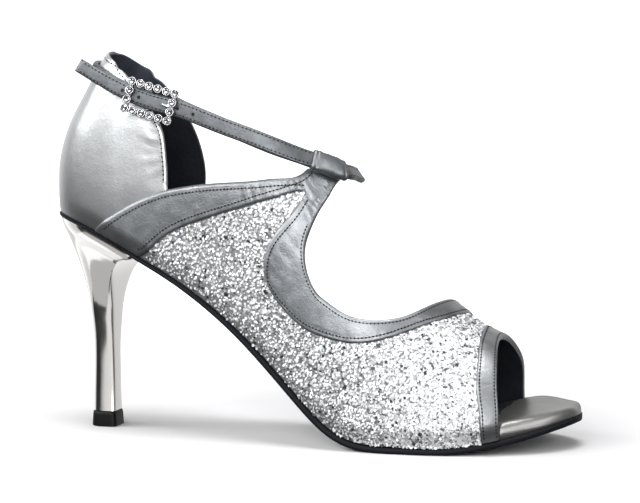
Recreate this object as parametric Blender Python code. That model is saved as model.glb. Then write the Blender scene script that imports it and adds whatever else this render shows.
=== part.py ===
"""Open-toe ballroom dance shoe for the right foot, empty, standing on its heel tip and forefoot.

Frame: metres, +X to the toe, +Y to the inner side of the foot, +Z up. The origin is the centre of
the heel tip's ground face.

The upper is one shell cut from the surface of the last. That surface has a chart of two
coordinates: place runs along the shoe and on around the heel, and girth runs from 0 at the outer
feather edge over the ridge at 1 to the inner feather edge at 2. Every panel line is drawn there.
"""

from math import atan2, ceil, cos, hypot, pi, sin

import bmesh
import bpy
import numpy as np
from mathutils import Matrix, Vector
from mathutils.geometry import delaunay_2d_cdt

MM = 0.001

# Sizes of the last
SHOE_LENGTH = 219.5 * MM
SEAT_WIDTH = 52.0 * MM
BALL_WIDTH = 75.6 * MM
HEEL_HEIGHT = 88.5 * MM
INSTEP_HEIGHT = 118.0 * MM
COUNTER_HEIGHT = 66.0 * MM
TOE_SPRING = 10.5 * MM
HEEL_SET = 18.0 * MM
TUCK = 2.2 * MM
TUCK_RISE = 8.0 * MM

# Thicknesses
WALL = 1.6 * MM
OVERLAY = 1.1 * MM
OUTSOLE = 2.4 * MM
SEAT_SOLE = 1.4 * MM
INSOLE = 3.0 * MM
TOE_PLATFORM = 6.8 * MM
TOE_TIP = 5.2 * MM
SOLE_RIM = 0.4 * MM
SOLE_CHAMFER = 0.7 * MM
INSOLE_ROUND = 1.6 * MM
PLATFORM_ROUND = 3.0 * MM
PLATFORM_LEAN = 2.2 * MM

# Heel and its tip
TIP_HEIGHT = 6.3 * MM
TIP_LENGTH = 10.5 * MM
TIP_WIDTH = 11.2 * MM
TIP_FLARE = 0.6 * MM
HEEL_INSET = 0.2 * MM

# Ankle strap, its loop and its buckle
STRAP_WIDTH = 7.3 * MM
STRAP_THICKNESS = 1.8 * MM
STRAP_TAIL = 34.5 * MM
TAIL_LIFT = 9 * pi / 180
LOOP_LENGTH = 15.0 * MM
LOOP_WALL = 0.9 * MM
LOOP_PLAY = 0.4 * MM
STONE_PITCH = 3.8 * MM
STONE_GAP = 0.4 * MM
STONE_HEIGHT = 1.5 * MM
STONES_LONG = 6
STONES_SHORT = 4
FRAME_BAND = 2.8 * MM
FRAME_THICKNESS = 1.2 * MM
BAR_DIAMETER = 1.0 * MM
PRONG_DIAMETER = 1.1 * MM
PRONG_HOLE = 2.6 * MM
HOLE_OFFSET = 3.7 * MM
PRONG_SLOPE = 0.4 * MM
PRONG_KNEE = 0.9 * MM
PRONG_CREST = 1.4 * MM
PRONG_ARCH = 0.5 * MM

# Fits
CLEARANCE = 0.3 * MM
SEAM_GAP = 0.5 * MM
STRAP_PLAY = 0.3 * MM
LAP_PLAY = 0.4 * MM
FLARE_RUN = 1.2 * MM
SOLE_END = 0.15 * MM

# Fineness of the mesh
LATTICE = 6.8 * MM
LINE_STEP = 5.0 * MM
STRAP_STEP = 3.4 * MM
LEAST_STEP = 0.3 * MM
SLOPE_REACH = 0.1 * MM
NORMAL_REACH = 0.2 * MM
FRAME_REACH = 0.5 * MM
CURVE_SAMPLES = 400

# Places along the shoe, as shares of its length from the back of the seat
WIDEST_SEAT = 0.146
BALL = 0.715
TREAD_START = 0.67
TREAD_END = 0.75
LOOP_PLACE = 0.536
BUCKLE_PLACE = 0.220

# Powers of the curves that close the plan
TOE_POWER = 2.2
SEAT_POWER = 2.3
BREAST_POWER = 8.0

# Underside of the sole: place, height as a share of HEEL_HEIGHT
ARCH = [
    (0.000, 0.999),
    (0.050, 0.972),
    (0.110, 0.918),
    (0.180, 0.825),
    (0.250, 0.728),
    (0.320, 0.612),
    (0.380, 0.493),
    (0.440, 0.353),
    (0.500, 0.203),
    (0.545, 0.100),
    (0.590, 0.032),
    (0.630, 0.006),
    (TREAD_START, 0.000),
]

# Toe spring: place, height as a share of TOE_SPRING
SPRING = [
    (TREAD_END, 0.00),
    (0.780, 0.02),
    (0.810, 0.07),
    (0.870, 0.27),
    (0.930, 0.58),
    (1.000, 1.00),
]

# Plan of the feather edge: place, half width as a share of the local width,
# swing to the inner side as a share of BALL_WIDTH
PLAN = [
    (WIDEST_SEAT, 0.500, 0.000),
    (0.220, 0.470, -0.011),
    (0.310, 0.428, -0.031),
    (0.400, 0.405, -0.047),
    (0.490, 0.412, -0.048),
    (0.580, 0.455, -0.026),
    (0.670, 0.492, -0.002),
    (0.740, 0.500, 0.012),
    (0.820, 0.500, 0.024),
    (0.900, 0.500, 0.036),
    (1.000, 0.500, 0.046),
]

# Ridge of the last: place, height as a share of INSTEP_HEIGHT, swing as a share of BALL_WIDTH,
# power of the section's curve
RIDGE = [
    (WIDEST_SEAT, 1.520, 0.000, 2.30),
    (0.260, 1.530, 0.000, 2.30),
    (0.360, 1.470, 0.000, 2.30),
    (0.430, 1.330, 0.000, 2.30),
    (0.490, 1.130, 0.000, 2.28),
    (0.530, 1.015, 0.005, 2.25),
    (0.580, 0.885, 0.010, 2.18),
    (0.660, 0.680, 0.016, 2.02),
    (0.745, 0.497, 0.020, 1.90),
    (0.780, 0.447, 0.022, 1.90),
    (0.814, 0.402, 0.024, 1.92),
    (0.850, 0.369, 0.026, 1.95),
    (0.900, 0.322, 0.030, 2.00),
    (1.000, 0.250, 0.036, 2.00),
]

# Back of the counter: height as a share of COUNTER_HEIGHT, lean as a share of the seat's length
BACK = [
    (0.00, 0.000),
    (0.15, -0.004),
    (0.33, 0.012),
    (0.46, 0.078),
    (0.57, 0.165),
    (0.68, 0.287),
    (0.79, 0.418),
    (0.89, 0.535),
    (0.96, 0.625),
    (1.00, 0.690),
]

# Collar, outer side: place, height as a share of COUNTER_HEIGHT
COLLAR_OUTER = [
    (0.248, 0.550),
    (0.247, 0.660),
    (0.244, 0.750),
    (0.234, 0.889),
    (0.212, 0.961),
    (0.191, 1.019),
    (0.168, 1.074),
    (0.149, 1.104),
]

# Collar around the heel: quarter turns from the outer side, height as a share of COUNTER_HEIGHT
COLLAR_BACK = [
    (-0.20, 1.088),
    (-0.50, 1.035),
    (-0.80, 1.010),
    (-1.00, 1.000),
    (-1.21, 0.990),
    (-1.50, 0.960),
    (-1.76, 0.952),
    (-1.95, 0.972),
]

# Collar, inner side, down to the seat: place, height as a share of COUNTER_HEIGHT
COLLAR_INNER = [
    (0.160, 0.974),
    (0.180, 0.940),
    (0.201, 0.894),
    (0.221, 0.828),
    (0.238, 0.714),
    (0.246, 0.580),
    (0.244, 0.450),
    (0.236, 0.280),
    (0.221, 0.120),
    (0.208, 0.000),
]

# Quarter band, upper edge over the counter: quarter turn or place, girth
BAND_REAR = [
    (-0.215, 0.000),
    (-0.062, 0.042),
    (0.175, 0.096),
    (0.218, 0.141),
    (0.248, 0.168),
]

# Quarter band, upper edge along the waist up to the tab: place, girth
BAND_UPPER = [
    (0.248, 0.168),
    (0.261, 0.178),
    (0.318, 0.224),
    (0.394, 0.303),
    (0.419, 0.343),
    (0.458, 0.435),
    (0.488, 0.530),
    (0.502, 0.592),
    (0.511, 0.650),
]

# Quarter band, lower edge: place, girth
BAND_LOWER = [
    (0.190, 0.000),
    (0.205, 0.012),
    (0.231, 0.046),
    (0.261, 0.084),
    (0.289, 0.114),
    (0.335, 0.163),
    (0.392, 0.236),
    (0.434, 0.314),
    (0.473, 0.420),
    (0.502, 0.518),
    (0.512, 0.548),
]

# Seam between quarter band and throat binding: place, girth
SEAM = [
    (0.512, 0.548),
    (0.533, 0.606),
    (0.553, 0.678),
]

# Top of the tab and its front edge: place, girth
TAB_TOP = [
    (0.511, 0.650),
    (0.563, 0.843),
]
TAB_FRONT = [
    (0.563, 0.843),
    (0.558, 0.757),
    (0.553, 0.678),
]

# Throat edge from the tab over the ridge to the inner feather edge: place, girth
THROAT = [
    (0.547, 0.620),
    (0.538, 0.546),
    (0.527, 0.456),
    (0.520, 0.393),
    (0.519, 0.347),
    (0.525, 0.316),
    (0.537, 0.300),
    (0.560, 0.309),
    (0.591, 0.334),
    (0.627, 0.381),
    (0.664, 0.456),
    (0.692, 0.538),
    (0.716, 0.650),
    (0.735, 0.791),
    (0.748, 0.957),
    (0.751, 1.080),
    (0.750, 1.220),
    (0.743, 1.360),
    (0.730, 1.480),
    (0.708, 1.610),
    (0.678, 1.750),
    (0.640, 1.880),
    (0.600, 2.000),
]

# Outer edge of the throat binding: place, girth
BINDING = [
    (0.500, 0.465),
    (0.476, 0.351),
    (0.455, 0.265),
    (0.445, 0.213),
    (0.443, 0.177),
    (0.446, 0.155),
    (0.461, 0.143),
    (0.484, 0.146),
    (0.514, 0.160),
    (0.563, 0.209),
    (0.616, 0.277),
    (0.660, 0.359),
    (0.703, 0.483),
    (0.742, 0.649),
    (0.769, 0.799),
    (0.783, 0.961),
    (0.785, 1.060),
    (0.783, 1.180),
    (0.778, 1.300),
    (0.768, 1.440),
    (0.753, 1.590),
    (0.730, 1.740),
    (0.700, 1.880),
    (0.668, 2.000),
]

# Edge of the toe opening: place, girth
TOE_FRONT = [
    (0.885, 0.000),
    (0.884, 0.213),
    (0.879, 0.345),
    (0.873, 0.499),
    (0.866, 0.666),
    (0.858, 0.845),
    (0.853, 1.003),
    (0.854, 1.180),
    (0.860, 1.350),
    (0.865, 1.490),
    (0.863, 1.640),
    (0.859, 1.800),
    (0.859, 2.000),
]

# Rear edge of the toe binding: place, girth
TOE_REAR = [
    (0.853, 0.000),
    (0.850, 0.213),
    (0.844, 0.323),
    (0.838, 0.449),
    (0.834, 0.581),
    (0.828, 0.737),
    (0.821, 0.950),
    (0.815, 1.104),
    (0.818, 1.300),
    (0.824, 1.480),
    (0.825, 1.660),
    (0.823, 1.830),
    (0.822, 2.000),
]

# Heel: height share from the tip to the seat, back, breast and half width as shares of the
# tip's own, share of the way from those to the seat's outline
HEEL_FORM = [
    (0.00, 1.000, 1.000, 1.000),
    (0.10, 0.985, 0.965, 0.915),
    (0.22, 0.940, 0.945, 0.905),
    (0.35, 0.930, 0.920, 0.960),
    (0.485, 1.045, 0.965, 1.240),
    (0.60, 1.310, 1.050, 1.540),
    (0.69, 1.640, 1.190, 2.030),
    (0.80, 2.230, 1.580, 2.700),
    (0.86, 2.600, 2.030, 3.200),
    (0.915, 2.950, 2.720, 3.890),
    (0.955, 3.200, 3.550, 4.400),
]
SEAT_BREAST = 0.178
HEEL_WAIST = 0.45

# How far the strap's centre line stands off the last: on the wall, over its own end, in the loop
ON_WALL = CLEARANCE + STRAP_THICKNESS / 2 + STRAP_PLAY
OVER_STRAP = ON_WALL + STRAP_THICKNESS + LAP_PLAY
IN_LOOP = 2 * CLEARANCE + OVERLAY + LOOP_WALL + LOOP_PLAY + STRAP_THICKNESS / 2

# Centre line of the ankle strap, from its end behind the buckle around the heel, along the inner
# side, over the instep and back along the outer side to the buckle:
# quarter turn or place, girth, stand-off
STRAP_LINE = [
    (0.212, 0.386, ON_WALL),
    (0.190, 0.402, ON_WALL),
    (0.162, 0.417, ON_WALL),
    (-0.12, 0.420, ON_WALL),
    (-0.30, 0.407, 1.05 * ON_WALL),
    (-0.50, 0.388, ON_WALL),
    (-0.80, 0.366, ON_WALL),
    (-1.00, 0.360, ON_WALL),
    (-1.20, 0.357, ON_WALL),
    (-1.50, 0.352, ON_WALL),
    (-1.92, 0.346, ON_WALL),
    (0.200, 1.660, ON_WALL),
    (0.256, 1.676, 1.2 * ON_WALL),
    (0.334, 1.680, 1.3 * ON_WALL),
    (0.394, 1.654, 1.3 * ON_WALL),
    (0.434, 1.612, 1.3 * ON_WALL),
    (0.500, 1.442, 1.3 * ON_WALL),
    (0.538, 1.262, 1.4 * ON_WALL),
    (0.554, 1.130, 0.6 * IN_LOOP),
    (0.562, 1.030, 0.72 * IN_LOOP),
    (0.564, 0.935, 0.87 * IN_LOOP),
    (0.558, 0.838, IN_LOOP),
    (0.538, 0.763, IN_LOOP),
    (0.516, 0.692, IN_LOOP),
    (0.489, 0.614, 0.87 * IN_LOOP),
    (0.462, 0.542, 0.77 * IN_LOOP),
    (0.403, 0.437, 0.75 * OVER_STRAP),
    (0.338, 0.392, 0.82 * OVER_STRAP),
    (0.272, 0.382, 0.93 * OVER_STRAP),
    (BUCKLE_PLACE, 0.381, OVER_STRAP),
]

# Colours: name, base colour, roughness, metallic
FINISHES = {
    "pewter_leather": ((0.30, 0.32, 0.34), 0.42, 0.70),
    "silver_leather": ((0.55, 0.57, 0.60), 0.40, 0.75),
    "black_sole": ((0.02, 0.02, 0.022), 0.70, 0.0),
    "dark_lining": ((0.02, 0.024, 0.04), 0.60, 0.0),
    "chrome": ((0.80, 0.78, 0.76), 0.06, 1.0),
    "black_tip": ((0.015, 0.015, 0.016), 0.40, 0.0),
    "crystal": ((0.90, 0.92, 0.95), 0.03, 0.2),
}


def natural_spline(places, values):
    """A natural cubic spline through the points, held at its ends outside them."""
    x = np.asarray(places, float)
    y = np.asarray(values, float)
    step = np.diff(x)
    count = len(x)
    matrix = np.eye(count)
    right = np.zeros(count)
    for i in range(1, count - 1):
        matrix[i, i - 1] = step[i - 1]
        matrix[i, i] = 2 * (step[i - 1] + step[i])
        matrix[i, i + 1] = step[i]
        right[i] = 6 * ((y[i + 1] - y[i]) / step[i] - (y[i] - y[i - 1]) / step[i - 1])
    bend = np.linalg.solve(matrix, right)

    def value(at):
        at = min(max(at, x[0]), x[-1])
        i = min(max(int(np.searchsorted(x, at)) - 1, 0), count - 2)
        d = step[i]
        before = x[i + 1] - at
        after = at - x[i]
        curved = (bend[i] * before**3 + bend[i + 1] * after**3) / (6 * d)
        straight = (y[i] / d - bend[i] * d / 6) * before + (y[i + 1] / d - bend[i + 1] * d / 6) * after
        return float(curved + straight)

    return value


def column_spline(rows, column):
    return natural_spline([row[0] for row in rows], [row[column] for row in rows])


arch_height = column_spline(ARCH, 1)
spring_height = column_spline(SPRING, 1)
plan_share = column_spline(PLAN, 1)
plan_swing = column_spline(PLAN, 2)
ridge_height = column_spline(RIDGE, 1)
ridge_swing = column_spline(RIDGE, 2)
section_power = column_spline(RIDGE, 3)
back_lean = column_spline(BACK, 1)


def smooth_step(t):
    t = min(max(t, 0.0), 1.0)
    return t * t * (3 - 2 * t)


def place_of(x):
    return (x + HEEL_SET) / SHOE_LENGTH


def x_of(place):
    return place * SHOE_LENGTH - HEEL_SET


HEEL_BACK_X = x_of(0.0)
SEAT_X = x_of(WIDEST_SEAT)
BALL_X = x_of(BALL)
TOE_X = x_of(1.0)


def underside(x):
    """Height of the sole's lower face, zero along the tread."""
    place = place_of(x)
    if place < TREAD_START:
        return max(HEEL_HEIGHT * arch_height(place), 0.0)
    if place > TREAD_END:
        return max(TOE_SPRING * spring_height(place), 0.0)
    return 0.0


def steepness(x):
    """Length along the sole for each unit of length along the floor."""
    reach = SLOPE_REACH
    return hypot(1.0, (underside(x + reach) - underside(x - reach)) / (2 * reach))


def sole_top(x):
    grown = smooth_step((place_of(x) - WIDEST_SEAT) / (BALL - WIDEST_SEAT) * 1.3)
    return underside(x) + (SEAT_SOLE + (OUTSOLE - SEAT_SOLE) * grown) * steepness(x)


def feather_height(x):
    """Height of the upper's lower edge, just clear of the sole."""
    return sole_top(x) + CLEARANCE


def plan_half(x, inset=0.0):
    """Half width of the feather edge, or of a line inset from it."""
    place = place_of(x)
    grown = smooth_step((place - WIDEST_SEAT) / (BALL - WIDEST_SEAT))
    width = SEAT_WIDTH + (BALL_WIDTH - SEAT_WIDTH) * grown
    half = width * plan_share(place) - inset
    toe = min(max((x - BALL_X) / (TOE_X - inset - BALL_X), 0.0), 1.0)
    heel = min(max((SEAT_X - x) / (SEAT_X - HEEL_BACK_X - inset), 0.0), 1.0)
    half *= max(1 - toe**TOE_POWER, 0.0) ** 0.5
    return half * max(1 - heel**SEAT_POWER, 0.0) ** (1 / SEAT_POWER)


def plan_centre(x):
    return BALL_WIDTH * plan_swing(place_of(x))


def tuck(height):
    """How far the wall stands out over its lower edge."""
    return TUCK * smooth_step(height / TUCK_RISE)


def section_rise(x):
    return INSTEP_HEIGHT * ridge_height(place_of(x)) - feather_height(x)


def section(x, girth):
    """Side position and height above the feather edge on the section at x."""
    angle = girth * pi / 2
    power = section_power(place_of(x))
    height = section_rise(x) * abs(sin(angle)) ** (2 / power)
    side = -1 if girth < 1 else 1
    ridge_y = BALL_WIDTH * ridge_swing(place_of(x))
    foot_y = plan_centre(x) + side * plan_half(x)
    share = abs(cos(angle)) ** (2 / power)
    flank = min(1.0, 3 * share)
    return ridge_y + (foot_y - ridge_y) * share + side * tuck(height) * flank, height


def seat_outline(turn, length, half):
    """A point of the heel's round outline, turn running from 0 at the outer side to pi."""
    x = SEAT_X - length * abs(sin(turn)) ** (2 / SEAT_POWER)
    side = -1 if turn < pi / 2 else 1
    return x, side * half * abs(cos(turn)) ** (2 / SEAT_POWER)


def quarter_table():
    """Turn against length along a quarter of the seat's outline."""
    turns = np.linspace(0, pi / 2, CURVE_SAMPLES)
    points = np.array([seat_outline(t, SEAT_X - HEEL_BACK_X, SEAT_WIDTH / 2) for t in turns])
    points[-1, 1] = 0.0
    steps = np.hypot(*np.diff(points, axis=0).T)
    return turns, np.concatenate([[0.0], np.cumsum(steps)])


TURNS, TURN_LENGTHS = quarter_table()
QUARTER = float(TURN_LENGTHS[-1])


def turn_at(a):
    """Turn around the heel at the chart length a, which is negative there."""
    if -a <= QUARTER:
        return float(np.interp(-a, TURN_LENGTHS, TURNS))
    return pi - float(np.interp(2 * QUARTER + a, TURN_LENGTHS, TURNS))


def wall_point(a, girth):
    """The last's surface at the chart length a, measured from the widest seat."""
    if a >= 0:
        x = SEAT_X + a
        y, height = section(x, girth)
        return Vector((x, y, feather_height(x) + height))
    if a <= -2 * QUARTER:
        x = SEAT_X - 2 * QUARTER - a
        y, height = section(x, 2 - girth)
        return Vector((x, y, feather_height(x) + height))
    turn = turn_at(a)
    flank, height = section(SEAT_X, girth)
    seat_length = SEAT_X - HEEL_BACK_X
    length = seat_length * (1 - back_lean(height / COUNTER_HEIGHT))
    x, y = seat_outline(turn, length, abs(flank - plan_centre(SEAT_X)))
    seat_x = seat_outline(turn, seat_length, SEAT_WIDTH / 2)[0]
    return Vector((x, plan_centre(SEAT_X) + y, feather_height(seat_x) + height))


def wall_normal(a, girth):
    reach = NORMAL_REACH
    nudge = 0.002
    along = wall_point(a + reach, girth) - wall_point(a - reach, girth)
    up = wall_point(a, girth + nudge) - wall_point(a, max(girth - nudge, 0.0))
    return along.cross(up).normalized()


def wall_frame(a, girth):
    """Surface point and normal, kept inside the chart at the inner feather edge."""
    return wall_point(a, girth), wall_normal(a, min(girth, 1.998))


def girth_at(place, height):
    """Girth on the section at a place, for a height above the feather edge."""
    share = min(max(height / section_rise(x_of(place)), 0.0), 1.0)
    power = section_power(place)
    return atan2(share ** (power / 2), max(1 - share**power, 0.0) ** 0.5) / (pi / 2)


# Size of one unit of girth where panel lines are drawn and divided
GIRTH_LENGTH = 0.9 * INSTEP_HEIGHT


def chart(place, girth):
    """Chart point of a row: negative places are quarter turns around the heel."""
    a = QUARTER * place if place < 0 else (place - WIDEST_SEAT) * SHOE_LENGTH
    return a, girth * GIRTH_LENGTH


def outer_collar_points():
    points = [chart(place, girth_at(place, share * COUNTER_HEIGHT)) for place, share in COLLAR_OUTER]
    points[0] = chart(*BAND_UPPER[0])
    return points


def back_collar_points():
    return [
        chart(turn, girth_at(WIDEST_SEAT, share * COUNTER_HEIGHT)) for turn, share in COLLAR_BACK
    ]


def inner_collar_points():
    points = []
    for place, share in COLLAR_INNER:
        a, _ = chart(place, 0.0)
        girth = girth_at(place, share * COUNTER_HEIGHT)
        points.append((-2 * QUARTER - a, girth * GIRTH_LENGTH))
    return points


def panel_line(points):
    """The smooth line through chart points, in steps of about LINE_STEP."""
    points = np.array(points)
    chords = np.hypot(*np.diff(points, axis=0).T)
    lengths = np.concatenate([[0.0], np.cumsum(chords)])
    along = natural_spline(lengths, points[:, 0])
    up = natural_spline(lengths, points[:, 1])
    count = max(ceil(lengths[-1] / LINE_STEP), 1)
    line = [(along(t), up(t)) for t in np.linspace(0, lengths[-1], count + 1)]
    line[0] = tuple(points[0])
    line[-1] = tuple(points[-1])
    return line


def rows_line(rows):
    return panel_line([chart(place, girth) for place, girth in rows])


def straight_line(start, end):
    count = max(ceil(hypot(end[0] - start[0], end[1] - start[1]) / LINE_STEP), 1)
    return [
        (start[0] + (end[0] - start[0]) * i / count, start[1] + (end[1] - start[1]) * i / count)
        for i in range(count + 1)
    ]


def join(*lines):
    """One line from lines that follow each other, with shared ends written once."""
    joined = []
    for line in lines:
        joined += line if not joined else line[1:]
    return joined


def draw_panels():
    """Outline of the upper, and of each overlay, in the chart."""
    seam_start = chart(*SEAM[0])
    seam_end = chart(*SEAM[-1])
    run = Vector(seam_end) - Vector(seam_start)
    shift = Vector((run.y, -run.x)).normalized() * SEAM_GAP
    binding_seam = [tuple(Vector(chart(*row)) + shift) for row in SEAM]

    collar = panel_line(outer_collar_points() + back_collar_points() + inner_collar_points())
    band_rear = rows_line(BAND_REAR)
    band_upper = rows_line(BAND_UPPER)
    band_lower = rows_line(BAND_LOWER)
    seam = rows_line(SEAM)
    seam_below = panel_line(binding_seam)
    tab_top = rows_line(TAB_TOP)
    tab_front = rows_line(TAB_FRONT)
    throat = panel_line([binding_seam[-1]] + [chart(*row) for row in THROAT])
    binding = panel_line([binding_seam[0]] + [chart(*row) for row in BINDING])
    toe_front = rows_line(TOE_FRONT)
    toe_rear = rows_line(TOE_REAR)

    stops = [collar[-1], band_rear[0], band_lower[0], toe_rear[0], toe_front[0]]
    outer_feather = [straight_line(stops[i], stops[i + 1]) for i in range(len(stops) - 1)]
    inner_stops = [toe_front[-1], toe_rear[-1], binding[-1], throat[-1]]
    inner_feather = [straight_line(inner_stops[i], inner_stops[i + 1]) for i in range(3)]

    tab = join(tab_front[::-1], tab_top[::-1])
    upper = join(
        *outer_feather,
        toe_front,
        *inner_feather,
        throat[::-1],
        [throat[0], seam[-1]],
        tab,
        band_upper[::-1],
        collar,
    )
    band = join(outer_feather[1], band_lower, seam, tab, band_upper[::-1], band_rear[::-1])
    throat_binding = join(binding, inner_feather[2], throat[::-1], seam_below[::-1])
    toe_binding = join(outer_feather[3], toe_front, inner_feather[0], toe_rear[::-1])
    return upper, {
        "quarter_band": band,
        "throat_binding": throat_binding,
        "toe_binding": toe_binding,
    }


def inside(point, outline):
    """Whether a chart point lies in a closed outline."""
    x, y = point
    crossings = 0
    for (x0, y0), (x1, y1) in zip(outline, outline[1:] + outline[:1]):
        if (y0 > y) != (y1 > y) and x < x0 + (y - y0) / (y1 - y0) * (x1 - x0):
            crossings += 1
    return crossings % 2 == 1


def segment_distance(point, segments):
    """Distance from a chart point to the nearest of many segments."""
    start = segments[:, 0]
    run = segments[:, 1] - start
    share = ((point - start) * run).sum(axis=1) / np.maximum((run**2).sum(axis=1), 1e-18)
    nearest = start + run * np.clip(share, 0, 1)[:, None]
    return float(np.hypot(*(nearest - point).T).min())


def lattice(outline, segments):
    """Evenly set chart points in the outline, clear of every panel line."""
    low = np.min(outline, axis=0)
    high = np.max(outline, axis=0)
    row_step = LATTICE * 3**0.5 / 2
    points = []
    for row in range(int((high[1] - low[1]) / row_step) + 1):
        for column in range(int((high[0] - low[0]) / LATTICE) + 1):
            point = low + np.array([(column + 0.5 * (row % 2)) * LATTICE, row * row_step])
            if inside(point, outline) and segment_distance(point, segments) > LATTICE / 2:
                points.append(tuple(point))
    return points


def divide_chart(outline, panels):
    """Chart points and triangles of the upper, with every panel's outline kept as edges."""
    points = []
    edges = []
    for line in [outline, *panels.values()]:
        first = len(points)
        points += line[:-1] if line[0] == line[-1] else line
        count = len(points) - first
        edges += [(first + i, first + (i + 1) % count) for i in range(count)]
    segments = np.array([(points[i], points[j]) for i, j in edges])
    points += lattice(outline, segments)
    found = delaunay_2d_cdt([Vector(p) for p in points], edges, [], 0, 0.02 * MM)
    spots = [tuple(v) for v in found[0]]
    triangles = []
    for face in found[2]:
        centre = np.mean([spots[i] for i in face], axis=0)
        if inside(centre, outline):
            triangles.append(tuple(face))
    return spots, triangles


def make_object(name, vertices, faces, finish, sharp=40.0):
    mesh = bpy.data.meshes.new(name)
    mesh.from_pydata([tuple(v) for v in vertices], [], faces)
    mesh.shade_smooth()
    mesh.set_sharp_from_angle(angle=sharp * pi / 180)
    mesh.materials.append(MATERIALS[finish])
    piece = bpy.data.objects.new(name, mesh)
    bpy.context.scene.collection.objects.link(piece)
    return piece


def make_materials():
    materials = {}
    for name, (colour, roughness, metallic) in FINISHES.items():
        material = bpy.data.materials.new(name)
        material.use_nodes = True
        shader = material.node_tree.nodes["Principled BSDF"]
        shader.inputs["Base Color"].default_value = (*colour, 1.0)
        shader.inputs["Roughness"].default_value = roughness
        shader.inputs["Metallic"].default_value = metallic
        materials[name] = material
    return materials


def make_shell(name, frames, triangles, inner, outer, finish):
    """A closed shell between two offsets of the last's surface."""
    used = sorted({i for face in triangles for i in face})
    number = {old: new for new, old in enumerate(used)}
    count = len(used)
    vertices = [frames[i][0] + frames[i][1] * outer for i in used]
    vertices += [frames[i][0] + frames[i][1] * inner for i in used]
    faces = []
    edges = set()
    for face in triangles:
        a, b, c = (number[i] for i in face)
        faces.append((a, b, c))
        faces.append((c + count, b + count, a + count))
        edges.update([(a, b), (b, c), (c, a)])
    for a, b in sorted(edges):
        if (b, a) not in edges:
            faces.append((b, a, a + count, b + count))
    return make_object(name, vertices, faces, finish)


def make_upper():
    """The hollow upper and the overlays that lie on it, all cut from one division of the chart."""
    outline, panels = draw_panels()
    spots, triangles = divide_chart(outline, panels)
    frames = [wall_frame(a, max(up / GIRTH_LENGTH, 0.0)) for a, up in spots]
    make_shell("upper", frames, triangles, -WALL, 0.0, "silver_leather")
    for name, panel in panels.items():
        own = []
        for face in triangles:
            centre = np.mean([spots[i] for i in face], axis=0)
            if inside(centre, panel):
                own.append(face)
        make_shell(name, frames, own, CLEARANCE, CLEARANCE + OVERLAY, "pewter_leather")


def bridge(rings):
    """Faces of a closed loft through rings of equal count, with a fan at each end."""
    count = len(rings[0])
    vertices = [point for ring in rings for point in ring]
    faces = []
    for i in range(len(rings) - 1):
        for j in range(count):
            k = (j + 1) % count
            faces.append((i * count + j, (i + 1) * count + j, (i + 1) * count + k, i * count + k))
    for ring, first, flip in ((rings[0], 0, False), (rings[-1], (len(rings) - 1) * count, True)):
        centre = len(vertices)
        vertices.append(sum((Vector(p) for p in ring), Vector()) / count)
        for j in range(count):
            k = (j + 1) % count
            face = (first + j, first + k, centre)
            faces.append(face[::-1] if flip else face)
    return vertices, faces


def loft(name, rings, finish, sharp=40.0):
    vertices, faces = bridge(rings)
    piece = make_object(name, vertices, faces, finish, sharp)
    face_outward(piece)
    return piece


def face_outward(piece):
    shape = bmesh.new()
    shape.from_mesh(piece.data)
    bmesh.ops.recalc_face_normals(shape, faces=shape.faces)
    if shape.calc_volume(signed=True) < 0:
        bmesh.ops.reverse_faces(shape, faces=shape.faces)
    shape.to_mesh(piece.data)
    shape.free()


def sole_stations(start, end, extra=()):
    """Places for sections: close together at the round ends, and at the tread's ends."""
    end_shares = (0.0, 0.004, 0.015, 0.035, 0.06, 0.1, 0.146)
    stations = [start + (end - start) * share for share in end_shares]
    stations += [start + (end - start) * (0.19 + 0.045 * i) for i in range(13)]
    stations += [end - (end - start) * share * 1.6 for share in end_shares]
    stations += [x_of(0.48 + 0.02 * i) for i in range(10)]
    stations += [x_of(TREAD_START), x_of(TREAD_END), *extra]
    stations.sort()
    kept = [stations[0]]
    for x in stations[1:]:
        if x - kept[-1] > LEAST_STEP:
            kept.append(x)
    return kept


def make_outsole():
    rings = []
    for x in sole_stations(HEEL_BACK_X - SOLE_RIM + SOLE_END, TOE_X + SOLE_RIM - SOLE_END):
        half = plan_half(x, -SOLE_RIM)
        centre = plan_centre(x)
        bottom = underside(x)
        top = sole_top(x)
        chamfer = min(SOLE_CHAMFER, (top - bottom) / 2, half / 2)
        profile = [
            (-half, top),
            (-half, bottom + chamfer),
            (-half + chamfer, bottom),
            (half - chamfer, bottom),
            (half, bottom + chamfer),
            (half, top),
            (0.0, top),
        ]
        rings.append([(x, centre + y, z) for y, z in profile])
    return loft("outsole", rings, "black_sole")


def insole_half(x, front):
    """Half width of the footbed: inside the wall, and out to the edge beyond the toe opening."""
    hidden = plan_half(x, WALL + CLEARANCE)
    shown = plan_half(x)
    return hidden + (shown - hidden) * smooth_step((x - front - CLEARANCE) / FLARE_RUN)


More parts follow.
